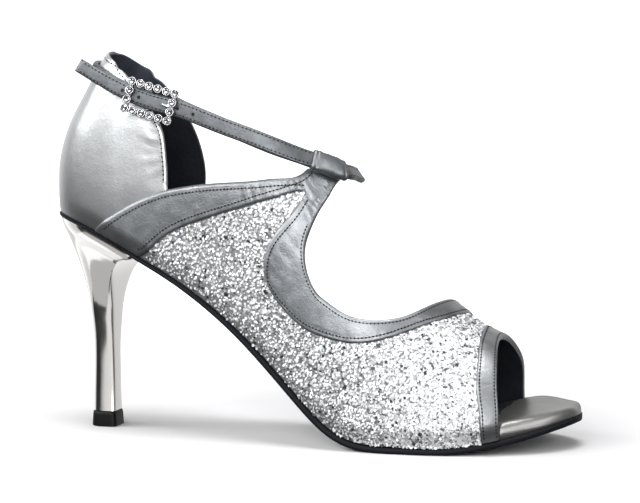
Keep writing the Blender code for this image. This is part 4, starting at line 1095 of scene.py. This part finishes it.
def strap_profile(steps=4):
    """A flat section with round edges and a slight crown."""
    half = STRAP_WIDTH / 2
    deep = STRAP_THICKNESS / 2
    ease = deep * STRAP_EDGE
    points = []
    for sx, sy, start in ((1, 1, 0), (-1, 1, 1), (-1, -1, 2), (1, -1, 3)):
        for i in range(steps + 1):
            angle = (start + i / steps) * pi / 2
            points.append((sx * (half - ease) + ease * cos(angle), sy * (deep - ease) + ease * sin(angle)))
        if start == 0:
            points += [(half * across, deep * rise) for across, rise in STRAP_CROWN]
    return points


def make_strap(step=1.2 * MM):
    count = ceil(PATH.length / step)
    rings = []
    for i in range(count + 1):
        t = PATH.length * i / count
        centre, _, width, out = PATH.frame(t)
        rings.append([centre + width * w * PATH.taper(t) + out * n for w, n in strap_profile()])
    ring_piece("strap", rings, [STRAP_METAL], replaces=("ankle_strap",), slot="pewter_leather")


def strap_row(start, end, offset):
    """Points and out vectors along the strap's face, beside its middle."""
    points = []
    outs = []
    for t in np.arange(start, end, 1.0 * MM):
        centre, _, width, out = PATH.frame(float(t))
        points.append(centre + width * offset * PATH.taper(t) + out * STRAP_THICKNESS / 2)
        outs.append(out)
    return np.array(points), np.array(outs)


def stitch_strap(inset=1.1 * MM, end=2 * MM):
    for offset in (-STRAP_WIDTH / 2 + inset, STRAP_WIDTH / 2 - inset):
        for start, stop in ((end, LOOP_START), (LOOP_END, PATH.length - end)):
            add_stitches(*strap_row(start, stop, offset), pitch=1.7 * MM, long=0.8 * MM)


# Holes of the strap: distance behind the buckle in mm, negative on the free end
STRAP_HOLES = (-13.1, -5.5, 11.6, 18.6)
# Rim and dimple of a hole: height over the strap and radius in mm
HOLE_FORM = [(0.02, 0.78), (0.14, 0.66), (0.10, 0.50), (0.09, 0.0)]
HOLE_SIDES = 16


# Painted shade: each hole is a dark rim and dimple on the strap's face, not an opening
def make_strap_holes():
    points = []
    faces = []
    for behind in STRAP_HOLES:
        centre, run, width, out = PATH.frame(PATH.buckle - behind * MM)
        first = len(points)
        for height, radius in HOLE_FORM:
            middle = centre + out * (STRAP_THICKNESS / 2 + height * MM)
            for j in range(HOLE_SIDES):
                angle = 2 * pi * j / HOLE_SIDES
                points.append(middle + (run * cos(angle) + width * sin(angle)) * radius * MM)
        faces += [[first + i for i in face[::-1]] for face in ring_faces(len(HOLE_FORM), HOLE_SIDES)]
    make_piece("strap_holes", points, faces, [HOLE_PAINTED_SHADE], slot="pewter_leather")


def oval(half, deep, steps=6):
    points = []
    for side in (1, -1):
        for i in range(steps + 1):
            angle = side * (pi / 2 - pi * i / steps)
            points.append((side * (half - deep + deep * cos(angle)), deep * sin(angle)))
    return points


LOOP_HEM = 1.6 * MM
LOOP_GROOVE = (0.30 * MM, 0.35 * MM)
LOOP_ROLL = (0.55 * MM, 0.7 * MM)
# Waves of the loop's face: depth, turns along it and round it in radians
LOOP_WAVES = [(0.10 * MM, 9, 0.9), (0.08 * MM, 23, 2.1)]
LOOP_CALM = 3 * MM


def loop_sink(from_end):
    """How far the loop's face lies below its full thickness: the hem's groove and its rolled end."""
    depth, width = LOOP_GROOVE
    groove = depth * np.exp(-(((from_end - LOOP_HEM) / width) ** 2))
    depth, radius = LOOP_ROLL
    return groove + depth * (1 - float(roll(np.array(from_end), radius)))


def make_loop(count=44, inner_step=4):
    """The folded tube on the tab with a turned hem at each end and a wavy face."""
    half = STRAP_WIDTH / 2 + LOOP_PLAY
    deep = STRAP_THICKNESS / 2 + LOOP_PLAY
    outer = [Vector(spot) for spot in oval(half + LOOP_WALL, deep + LOOP_WALL)]
    rings = []
    for i in range(count + 1):
        share = i / count
        centre, _, width, out = PATH.frame(LOOP_START + LOOP_LENGTH * share)
        from_end = min(share, 1 - share) * LOOP_LENGTH
        rings.append([])
        for j, spot in enumerate(outer):
            wave = sum(depth * sin(along * share + around * j) for depth, along, around in LOOP_WAVES)
            wave *= min(from_end / LOOP_CALM, 1.0)
            spot = spot - spot.normalized() * (loop_sink(from_end) + wave)
            rings[-1].append(centre + width * spot[0] + out * spot[1])
    for i in range(count, -1, -inner_step):
        centre, _, width, out = PATH.frame(LOOP_START + LOOP_LENGTH * i / count)
        rings.append([centre + width * w + out * n for w, n in oval(half, deep)])
    ring_piece("loop_tube", rings, [PEWTER], False, True, replaces=("strap_loop",), slot="pewter_leather")


def make_stitches():
    for kind, surface in (("thread", THREAD), ("hole", HOLE_PAINTED_SHADE)):
        all_points = []
        all_faces = []
        first = 0
        for points, faces in STITCHES[kind]:
            all_points.append(points)
            all_faces += [tuple(f + first) for f in faces]
            first += len(points)
        make_piece(f"stitch_{kind}s", np.concatenate(all_points), all_faces, [surface], slot="pewter_leather")


make_strap()
stitch_strap()
make_strap_holes()
make_loop()
make_stitches()


# Buckle, built flat and moved to its place on the strap
def buckle_matrix():
    centre, run, width, out = PATH.frame(PATH.buckle)
    return Matrix.Translation(centre) @ Matrix((-run, width, out)).transposed().to_4x4()


BUCKLE = buckle_matrix()
FRAME_LOW = STRAP_THICKNESS / 2 + CLEARANCE
FRAME_TOP = FRAME_LOW + FRAME_THICKNESS
FRAME_EASE = 0.25 * MM
HALF_LONG = STONE_PITCH * (STONES_LONG - 1) / 2
HALF_SHORT = STONE_PITCH * (STONES_SHORT - 1) / 2
BAR_RADIUS = BAR_DIAMETER / 2
BAR_DEPTH = -(STRAP_THICKNESS / 2 + CLEARANCE + BAR_RADIUS)
PRONG_RADIUS = PRONG_DIAMETER / 2


def stone_spots():
    spots = [(-HALF_LONG + STONE_PITCH * i, HALF_SHORT) for i in range(STONES_LONG)]
    spots += [(HALF_LONG, HALF_SHORT - STONE_PITCH * i) for i in range(1, STONES_SHORT - 1)]
    spots += [(HALF_LONG - STONE_PITCH * i, -HALF_SHORT) for i in range(STONES_LONG)]
    spots += [(-HALF_LONG, -HALF_SHORT + STONE_PITCH * i) for i in range(1, STONES_SHORT - 1)]
    return spots


def rounded_rectangle(half_long, half_short, radius, steps=5):
    points = []
    for corner in range(4):
        x = (1 if corner in (0, 3) else -1) * (half_long - radius)
        y = (1 if corner in (0, 1) else -1) * (half_short - radius)
        for i in range(steps + 1):
            angle = (corner + i / steps) * pi / 2
            points.append((x + radius * cos(angle), y + radius * sin(angle)))
    return points


def tube(points, radii, sides=12):
    """Rings of points round a route."""
    rings = []
    for i, (point, radius) in enumerate(zip(points, radii)):
        before = Vector(points[max(i - 1, 0)])
        after = Vector(points[min(i + 1, len(points) - 1)])
        run = (after - before).normalized()
        side = run.orthogonal().normalized()
        if abs(run.x) < 0.5:
            side = Vector((1, 0, 0)).cross(run).normalized()
        up = run.cross(side)
        turns = [2 * pi * j / sides for j in range(sides)]
        rings.append([Vector(point) + (side * cos(t) + up * sin(t)) * radius for t in turns])
    return rings


def buckle_piece(name, rings, materials, close=True, **words):
    ring_piece(name, [[BUCKLE @ Vector(p) for p in ring] for ring in rings], materials, close, **words)


def make_frame():
    levels = [(FRAME_LOW, 0), (FRAME_TOP - FRAME_EASE, 0), (FRAME_TOP, FRAME_EASE)]
    rings = []
    for z, ease in levels:
        grow = FRAME_BAND / 2 - ease
        line = rounded_rectangle(HALF_LONG + grow, HALF_SHORT + grow, FRAME_BAND / 2)
        rings.append([(x, y, z) for x, y in line])
    for z, ease in levels[::-1]:
        shrink = FRAME_BAND / 2 - ease
        line = rounded_rectangle(HALF_LONG - shrink, HALF_SHORT - shrink, FRAME_BAND / 5)
        rings.append([(x, y, z) for x, y in line])
    rings.append(rings[0])
    buckle_piece("buckle_ring", rings, [BUCKLE_METAL], False, replaces=("buckle_frame",), slot="chrome")


def make_bar():
    """The bar dips under the strap between the frame's long sides."""
    reach = STRAP_WIDTH / 2 + CLEARANCE + BAR_RADIUS
    half = [
        (HALF_SHORT, FRAME_LOW + FRAME_THICKNESS / 2),
        (reach, FRAME_LOW - BAR_RADIUS / 2),
        (reach, BAR_DEPTH + BAR_RADIUS),
        (reach - BAR_RADIUS, BAR_DEPTH),
    ]
    route = [(0.0, y, z) for y, z in half] + [(0.0, -y, z) for y, z in half[::-1]]
    buckle_piece("buckle_bar", tube(route, [BAR_RADIUS] * len(route)), [BUCKLE_METAL], slot="chrome")


def make_prong():
    """The prong starts at the bar, rises through the strap and rests on the frame's far side."""
    top = FRAME_TOP + CLEARANCE + PRONG_RADIUS
    over = STRAP_THICKNESS / 2 + CLEARANCE + PRONG_RADIUS
    # Distance from the bar, height, radius share
    rows = [
        (BAR_RADIUS + CLEARANCE, BAR_DEPTH, 1),
        (HOLE_OFFSET - 0.9 * MM, BAR_DEPTH + 0.1 * MM, 1),
        (HOLE_OFFSET - 0.2 * MM, -PRONG_RADIUS, 1),
        (HOLE_OFFSET + 0.2 * MM, PRONG_RADIUS, 1),
        (HOLE_OFFSET + 1.4 * MM, over + 0.5 * MM, 1.1),
        (HALF_LONG - FRAME_BAND / 2 - PRONG_RADIUS, top - PRONG_RADIUS * 0.2, 1.5),
        (HALF_LONG - FRAME_BAND / 3, top - PRONG_RADIUS * 0.5, 1.1),
    ]
    route = [(x, 0.0, z) for x, z, _ in rows]
    rings = tube(route, [PRONG_RADIUS * share for _, _, share in rows])
    buckle_piece("prong", rings, [CUP_METAL], replaces=("buckle_prong",), slot="chrome")


# Cup and crown of a stone: radius, height in mm
CUP = [(1.25, 0.0), (1.66, 0.15), (1.76, 0.55), (1.74, 0.95), (1.62, 1.08), (1.46, 1.02), (1.38, 0.60)]
CUP_SIDES = 24
CROWN = [(1.40, 0.55), (1.16, 1.02), (0.80, 1.32)]
CROWN_SIDES = 8
TABLE_HEIGHT = 1.30
STONE_TURN = 0.37


def turned(profile, sides, twist=0.0):
    """Rings of points round the z axis; each ring is turned by twist times its number."""
    rings = []
    for level, (radius, z) in enumerate(profile):
        angles = [2 * pi * (j + twist * (level % 2)) / sides for j in range(sides)]
        rings.append([Vector((radius * MM * cos(t), radius * MM * sin(t), z * MM)) for t in angles])
    return rings


def gem_faces(first):
    """Facets of a cut stone: two rows of triangles and a table."""
    faces = []
    for level in range(2):
        low = first + level * CROWN_SIDES
        high = low + CROWN_SIDES
        for j in range(CROWN_SIDES):
            k = (j + 1) % CROWN_SIDES
            if level == 0:
                faces += [(low + j, low + k, high + j), (low + k, high + k, high + j)]
            else:
                faces += [(low + j, high + k, high + j), (low + j, low + k, high + k)]
    top = first + 2 * CROWN_SIDES
    centre = top + CROWN_SIDES
    return faces + [(top + j, top + (j + 1) % CROWN_SIDES, centre) for j in range(CROWN_SIDES)]


def make_stones():
    """Round cut stones in rubbed-over cups; the crown's lowest row and some other facets are dark, as painted
    reflection.
    """
    cup_rings = turned(CUP, CUP_SIDES)
    crown_rings = turned(CROWN, CROWN_SIDES, 0.5)
    cup_points, cup_faces, gem_points, facets, marks = [], [], [], [], []
    for number, (x, y) in enumerate(stone_spots()):
        move = BUCKLE @ Matrix.Translation((x, y, FRAME_TOP)) @ Matrix.Rotation(number * STONE_TURN, 4, "Z")
        first = len(cup_points)
        cup_points += [move @ p for ring in cup_rings for p in ring]
        cup_faces += [tuple(i + first for i in f) for f in ring_faces(len(CUP), CUP_SIDES)]
        facets += gem_faces(len(gem_points))
        gem_points += [move @ p for ring in crown_rings for p in ring]
        gem_points.append(move @ Vector((0, 0, TABLE_HEIGHT * MM)))
        # Painted reflection: the lowest row of facets is always dark, some others at random
        marks += [1] * (2 * CROWN_SIDES)
        marks += [int(RANDOM.random() < 0.3) for _ in range(2 * CROWN_SIDES)]
        marks += [int(RANDOM.random() < 0.2) for _ in range(CROWN_SIDES)]
    make_piece("stone_cups", cup_points, cup_faces, [CUP_METAL], slot="chrome")
    names = [f"stone_{i:02d}" for i in range(1, 17)]
    make_piece(
        "stones", gem_points, facets, [STONE, STONE_PAINTED_DARK_REFLECTION],
        replaces=names, slot="crystal", flat=True, marks=marks,
    )


make_frame()
make_bar()
make_prong()
make_stones()

# Soles and heel
SOLE_RIM = 0.4 * MM
SOLE_ROUND = 0.7 * MM
SKIVE = 0.85 * MM
END_GAP = 0.02 * MM
# Edge of the dark sock on the platform, at the outer and inner sides
SOCK_OUTER_X = 176.5 * MM
SOCK_INNER_X = 173.0 * MM
SOCK_BOW = 6 * MM
# Groove where the platform's top and side meet: share of the way to the middle, depth share
GROOVE_FORM = [(0.03, 0.4), (0.06, 1.0), (0.10, 0.3), (0.15, -0.2), (0.25, -0.25)]
GROOVE_DEPTH = 0.35 * MM
HEEL_SIDES = 72
# Shares of the heel's height: where its sections lie and where its widest place starts to move forward
HEEL_LEVELS = np.concatenate([np.linspace(0, 0.7, 36), np.linspace(0.72, 1.0, 26)])
HEEL_SWAY = 0.5
# Where the skived edge ends, and over how long a run
SKIVE_END = 0.150
SKIVE_RUN = 0.035
# The platform comes out from inside the upper this far behind its front edge, over this run
SHOWN_BACK = 1.8 * MM
SHOWN_RUN = 1.2 * MM
NARROWEST_GROOVED = 6 * MM
CROWDING = 0.75
HEEL_PLAY = 0.2 * MM


def stations(start, end, count):
    """Places along a sole, closer together at its round ends."""
    t = np.linspace(0, 1, count)
    return start + (end - start) * (t - np.sin(2 * pi * t) / (2 * pi) * CROWDING)


def seat_lift(x):
    """How far the sole's edge is skived away over the heel."""
    return SKIVE * float(1 - smooth((place_of(x) - SKIVE_END) / SKIVE_RUN))


def make_outsole():
    rings = []
    for x in stations(HEEL_BACK_X - SOLE_RIM + END_GAP, TOE_X + SOLE_RIM - END_GAP, 170):
        centre = float(plan_centre(x))
        bottom = float(underside(x)) + seat_lift(x)
        top = float(sole_top(x))
        half = max(float(plan_half(x, -SOLE_RIM)) - 0.5 * seat_lift(x), 0.1 * MM)
        ease = min(SOLE_ROUND, (top - bottom) / 2, half / 2)
        side = [(-half, top), (-half, (top + bottom) / 2)]
        for t in np.linspace(0, pi / 2, 5):
            side.append((-half + ease * (1 - cos(t)), bottom + ease * (1 - sin(t))))
        profile = side + [(0.0, bottom)] + [(-y, z) for y, z in side[::-1]] + [(0.0, top)]
        rings.append([(x, centre + y, z) for y, z in profile])
    ring_piece("sole", rings, [SOLE_BLACK], replaces=("outsole",), slot="black_sole")


def insole_half(x, front):
    """Half width: inside the upper's wall up to its front edge, then the whole plan."""
    hidden = float(plan_half(x, WALL + CLEARANCE))
    shown = float(plan_half(x))
    return hidden + (shown - hidden) * float(smooth((x - front + SHOWN_BACK) / SHOWN_RUN))


def insole_side(half, top, bottom, ease, groove):
    """Half a section from its bottom corner to its groove: distance from the middle, height."""
    side = [(half, bottom)]
    for t in np.linspace(0, pi / 2, 8):
        side.append((half - ease * (1 - cos(t)), top - ease * (1 - sin(t))))
    return side + [((half - ease) * (1 - share), top - groove * dip) for share, dip in GROOVE_FORM]


def insole_section(x, outer, inner):
    """Section of the footbed, which grows into the thick platform at the toe."""
    toe_front = TOE_FRONT[0][0]
    grown = float(smooth((place_of(x) - BALL) / (TOE_FRONT[-1][0] - BALL)))
    thinned = float(smooth((x - x_of(toe_front)) / (TOE_X - x_of(toe_front))))
    thickness = INSOLE + (TOE_PLATFORM - INSOLE) * grown - (TOE_PLATFORM - TOE_TIP) * thinned
    corner = INSOLE_ROUND + (PLATFORM_ROUND - INSOLE_ROUND) * grown
    bottom = float(feather_height(x))
    edge_on = min((TOE_X - x) / corner, 1.0)
    fall = corner * (1 - max(1 - (1 - edge_on) ** 2, 0.0) ** 0.5)
    top = bottom + thickness * float(steepness(x)) - fall
    lean = PLATFORM_LEAN * grown * (1 - thinned)
    ease = min(corner, outer * 0.7, inner * 0.7, (top - bottom) * 0.8)
    groove = GROOVE_DEPTH * grown if outer > NARROWEST_GROOVED else 0.0
    outer_side = [(-y, z) for y, z in insole_side(outer, top, bottom, ease, groove)]
    inner_side = insole_side(inner, top + lean, bottom, ease, groove)
    middle = [((ease - outer) * 0.5, top), (0.0, top + lean * 0.4), ((inner - ease) * 0.5, top + lean * 0.7)]
    return [(0.0, bottom)] + outer_side + middle + inner_side[::-1]


def sock_edge(y):
    across = (y + BALL_WIDTH / 2) / BALL_WIDTH
    bow = SOCK_BOW * sin(pi * min(max(across, 0), 1))
    return SOCK_OUTER_X + (SOCK_INNER_X - SOCK_OUTER_X) * across - bow


def make_insole():
    """The footbed: a dark sock, and a wrapped platform with a groove where top and side meet."""
    outer_front = x_of(TOE_FRONT[0][0]) + OVERLAY / 2
    inner_front = x_of(TOE_FRONT[-1][0]) + OVERLAY / 2
    rings = []
    for x in stations(HEEL_BACK_X + WALL + CLEARANCE + END_GAP, TOE_X - END_GAP, 230):
        section_points = insole_section(x, insole_half(x, outer_front), insole_half(x, inner_front))
        rings.append([(x, float(plan_centre(x)) + y, z) for y, z in section_points])
    piece = ring_piece("footbed", rings, [LINING, PLATFORM], replaces=("insole",), slot="dark_lining")
    for face in piece.data.polygons:
        face.material_index = int(face.center.x > sock_edge(face.center.y))


def heel_outline(back, breast, half, waist):
    """Plan of the heel: round behind its widest place, squarer in front of it."""
    points = []
    for i in range(HEEL_SIDES):
        angle = 2 * pi * (i + 0.5) / HEEL_SIDES
        behind = cos(angle) < 0
        power = SEAT_POWER if behind else BREAST_POWER
        length = waist - back if behind else breast - waist
        x = waist + length * np.sign(cos(angle)) * abs(cos(angle)) ** (2 / power)
        y = half * np.sign(sin(angle)) * abs(sin(angle)) ** (2 / power)
        points.append((float(x), float(y)))
    return points


def make_heel():
    foot = TIP_HEIGHT + CLEARANCE
    seat = (
        1.0,
        -(HEEL_BACK_X + HEEL_PLAY) / (TIP_LENGTH / 2),
        x_of(SEAT_BREAST) / (TIP_LENGTH / 2),
        (SEAT_WIDTH / 2 - HEEL_PLAY) / (TIP_WIDTH / 2),
    )
    shapes = [column(HEEL_FORM + [seat], i) for i in (1, 2, 3)]
    rings = []
    for rise in HEEL_LEVELS:
        back, breast, half = (float(shape(rise)) for shape in shapes)
        back_x = -TIP_LENGTH / 2 * back
        breast_x = TIP_LENGTH / 2 * breast
        waist_x = back_x + (breast_x - back_x) * HEEL_WAIST
        waist_x += (SEAT_X - waist_x) * float(smooth((rise - HEEL_SWAY) / (1 - HEEL_SWAY)))
        plan = heel_outline(back_x, breast_x, TIP_WIDTH / 2 * half, waist_x)
        reach = [foot + (float(underside(x)) + seat_lift(x) - 0.1 * MM - foot) * rise for x, _ in plan]
        rings.append([(x, y, z) for (x, y), z in zip(plan, reach)])
    piece = ring_piece("heel_body", rings, [CHROME], replaces=("heel",), slot="plated_heel")
    piece.data.set_sharp_from_angle(angle=60 * pi / 180)


def make_tip():
    # Height, how far the tip stands out
    levels = [
        (0.0, TIP_FLARE - 0.3 * MM),
        (0.3 * MM, TIP_FLARE),
        (TIP_HEIGHT * 0.8, TIP_FLARE / 2),
        (TIP_HEIGHT - 0.2 * MM, 0.1 * MM),
        (TIP_HEIGHT, -0.1 * MM),
    ]
    rings = []
    for height, flare in levels:
        half_long = TIP_LENGTH / 2 + flare
        plan = heel_outline(-half_long, half_long, TIP_WIDTH / 2 + flare, TIP_LENGTH * (HEEL_WAIST - 0.5))
        rings.append([(x, y, height) for x, y in plan])
    piece = ring_piece("tip", rings, [TIP_BLACK], replaces=("heel_tip",), slot="black_tip")
    piece.data.set_sharp_from_angle(angle=40 * pi / 180)


make_outsole()
make_insole()
make_heel()
make_tip()

# Stage, light and camera
AZIMUTH = 17.0 * pi / 180
ELEVATION = 6.5
DISTANCE = 1.5
PIXELS_PER_MM = 2.45
PHOTO_WIDTH = 640
SENSOR = 36.0
CENTRE = Vector((0.100, 0.0, 0.075))
# The point of the picture's middle, from CENTRE, in pixels to the right and up
MIDDLE_OFFSET = (-16.17, 2.71)

# Softboxes: name, azimuth from the camera, elevation in degrees, power in watts
SOFTBOXES = [
    ("front", -15, 28, 7.0),
    ("front_left", -35, 28, 4.3),
    ("left", -55, 28, 5.4),
    ("far_left", -75, 28, 4.0),
    ("side", -95, 28, 9.0),
    ("overhead", 20, 84, 13.5),
    ("low_front", 0, 8, 7.5),
    ("right", 55, 28, 6.2),
    ("low_right", 42, 6, 1.8),
    ("high_right", 35, 65, 2.3),
]
SOFTBOX_SIZE = 0.75
SOFTBOX_DISTANCE = 1.6
# Cards for one piece each; the heel mirrors the dark studio between its cards as its stripe
HEEL_AIM = Vector((0.0, 0.0, 0.04))
TOE_AIM = Vector((0.18, -0.02, 0.02))
# Name, piece, aim, azimuth, elevation, distance, width, height, power, how far it is lowered
CARDS = [
    ("heel_card_front", "heel_body", HEEL_AIM, -5, 0, 1.0, 1.40, 2.1, 7.3, 0.68),
    ("heel_card_right", "heel_body", HEEL_AIM, 65, 0, 1.0, 1.40, 2.1, 6.6, 0.68),
    ("heel_card_left", "heel_body", HEEL_AIM, -122, 0, 1.0, 0.81, 2.1, 3.7, 0.0),
    ("toe_card", "footbed", TOE_AIM, 15, 8, 0.8, 1.7, 0.5, 5.2, 0.0),
]
LOW_CARD_SIZE = 1.2
LOW_CARD_POWER = 2.2
LOW_CARD_AZIMUTH = -40
LOW_CARD_DROP = 0.7
FLOOR_HALF = 6.0
FLOOR_MIDDLE = (0.10, 0.0, 0.0)
# Distances between which the floor starts to glow, and its glow in the end
FLOOR_GLOW = (0.10, 0.70, 1.2)
# Strength of the background to the camera, and of the studio in reflections in front and behind
BACKDROP = 1.1
STUDIO_FRONT = 0.03
STUDIO_BEHIND = 0.9


def direction(azimuth, elevation):
    """Unit vector from the shoe; azimuth from the camera, turning to the right, in degrees."""
    a = azimuth * pi / 180 + AZIMUTH
    e = elevation * pi / 180
    return Vector((sin(a) * cos(e), -cos(a) * cos(e), sin(e)))


def area_light(name, place, aim, width, height, power):
    data = bpy.data.lights.new(name, "AREA")
    data.shape = "RECTANGLE"
    data.size = width
    data.size_y = height
    data.energy = power
    lamp = bpy.data.objects.new(name, data)
    lamp.location = place
    lamp.rotation_euler = (Vector(aim) - Vector(place)).to_track_quat("-Z", "Y").to_euler()
    bpy.context.scene.collection.objects.link(lamp)
    return lamp


def light_only(lamp, piece):
    """Let a lamp shine on one piece alone."""
    group = bpy.data.collections.new(f"{lamp.name}_receivers")
    group.objects.link(bpy.data.objects[piece])
    lamp.light_linking.receiver_collection = group


def make_lights():
    for name, azimuth, elevation, power in SOFTBOXES:
        place = CENTRE + direction(azimuth, elevation) * SOFTBOX_DISTANCE
        area_light(f"softbox_{name}", place, CENTRE, SOFTBOX_SIZE, SOFTBOX_SIZE, power)
    for name, piece, aim, azimuth, elevation, far, width, height, power, lowered in CARDS:
        lamp = area_light(name, aim + direction(azimuth, elevation) * far, aim, width, height, power)
        lamp.location.z -= lowered
        light_only(lamp, piece)


def make_low_card():
    """A card that lies under the heel, on its far left, and shines up."""
    across = direction(LOW_CARD_AZIMUTH, 0) + direction(LOW_CARD_AZIMUTH - 90, 0)
    place = HEEL_AIM + across * (LOW_CARD_SIZE / 2) + Vector((0.0, 0.0, -LOW_CARD_DROP))
    aim = place + Vector((0.0, 0.0, 1.0))
    lamp = area_light("heel_card_below", place, aim, LOW_CARD_SIZE, LOW_CARD_SIZE, LOW_CARD_POWER)
    lamp.rotation_euler = (pi, 0.0, AZIMUTH + LOW_CARD_AZIMUTH * pi / 180)
    light_only(lamp, "heel_body")


def make_floor():
    """White floor, brighter away from the shoe so that it joins the white background."""
    surface = bpy.data.materials.new("floor_white")
    surface.use_nodes = True
    tree = surface.node_tree
    place = add_node(tree, "TexCoord", {}).outputs["Object"]
    length = add_node(tree, "VectorMath", {0: place}, operation="LENGTH").outputs["Value"]
    near, far, strength = FLOOR_GLOW
    values = {"From Min": near, "From Max": far, "To Min": 0.0, "To Max": strength, "Value": length}
    glow = add_node(tree, "MapRange", values).outputs["Result"]
    shader = tree.nodes["Principled BSDF"]
    feed(shader, {"Base Color": (0.82, 0.82, 0.83, 1.0), "Roughness": 0.9, "Specular IOR Level": 0.0})
    feed(shader, {"Emission Color": (1.0, 1.0, 1.0, 1.0), "Emission Strength": glow})
    corners = [(x * FLOOR_HALF, y * FLOOR_HALF, 0) for x, y in ((-1, -1), (1, -1), (1, 1), (-1, 1))]
    mesh = bpy.data.meshes.new("floor")
    mesh.from_pydata(corners, [], [(0, 1, 2, 3)])
    mesh.materials.append(surface)
    floor = bpy.data.objects.new("floor", mesh)
    floor.location = FLOOR_MIDDLE
    floor.visible_glossy = False
    floor.visible_diffuse = False
    bpy.context.scene.collection.objects.link(floor)


def make_world():
    """White background; reflections see it behind the shoe and a dim studio in front."""
    world = bpy.data.worlds.new("studio")
    bpy.context.scene.world = world
    world.use_nodes = True
    tree = world.node_tree
    place = add_node(tree, "TexCoord", {}).outputs["Generated"]
    behind = add_node(tree, "VectorMath", {0: place, 1: direction(180, 0)}, operation="DOT_PRODUCT")
    values = {"From Min": 0.40, "From Max": 0.92, "To Min": STUDIO_FRONT, "To Max": STUDIO_BEHIND}
    fade = add_node(tree, "MapRange", {**values, "Value": behind.outputs["Value"]})
    seen = add_node(tree, "LightPath", {}).outputs["Is Camera Ray"]
    values = {"Factor": seen, "A": fade.outputs["Result"], "B": BACKDROP}
    choice = add_node(tree, "Mix", values, data_type="FLOAT")
    feed(tree.nodes["Background"], {"Color": (1.0, 1.0, 1.0, 1.0), "Strength": choice.outputs["Result"]})


def make_camera():
    back = direction(0, ELEVATION)
    right = Vector((cos(AZIMUTH), sin(AZIMUTH), 0.0))
    up = back.cross(right)
    aim = CENTRE + (right * MIDDLE_OFFSET[0] + up * MIDDLE_OFFSET[1]) * (MM / PIXELS_PER_MM)
    data = bpy.data.cameras.new("camera")
    data.sensor_width = SENSOR
    data.lens = PIXELS_PER_MM * DISTANCE / MM / PHOTO_WIDTH * SENSOR
    camera = bpy.data.objects.new("camera", data)
    turn = Matrix((right, up, back)).transposed().to_4x4()
    camera.matrix_world = Matrix.Translation(aim + back * DISTANCE) @ turn
    bpy.context.scene.collection.objects.link(camera)
    bpy.context.scene.camera = camera


make_lights()
make_low_card()
make_floor()
make_world()
make_camera()
bpy.context.scene.view_settings.view_transform = "Standard"
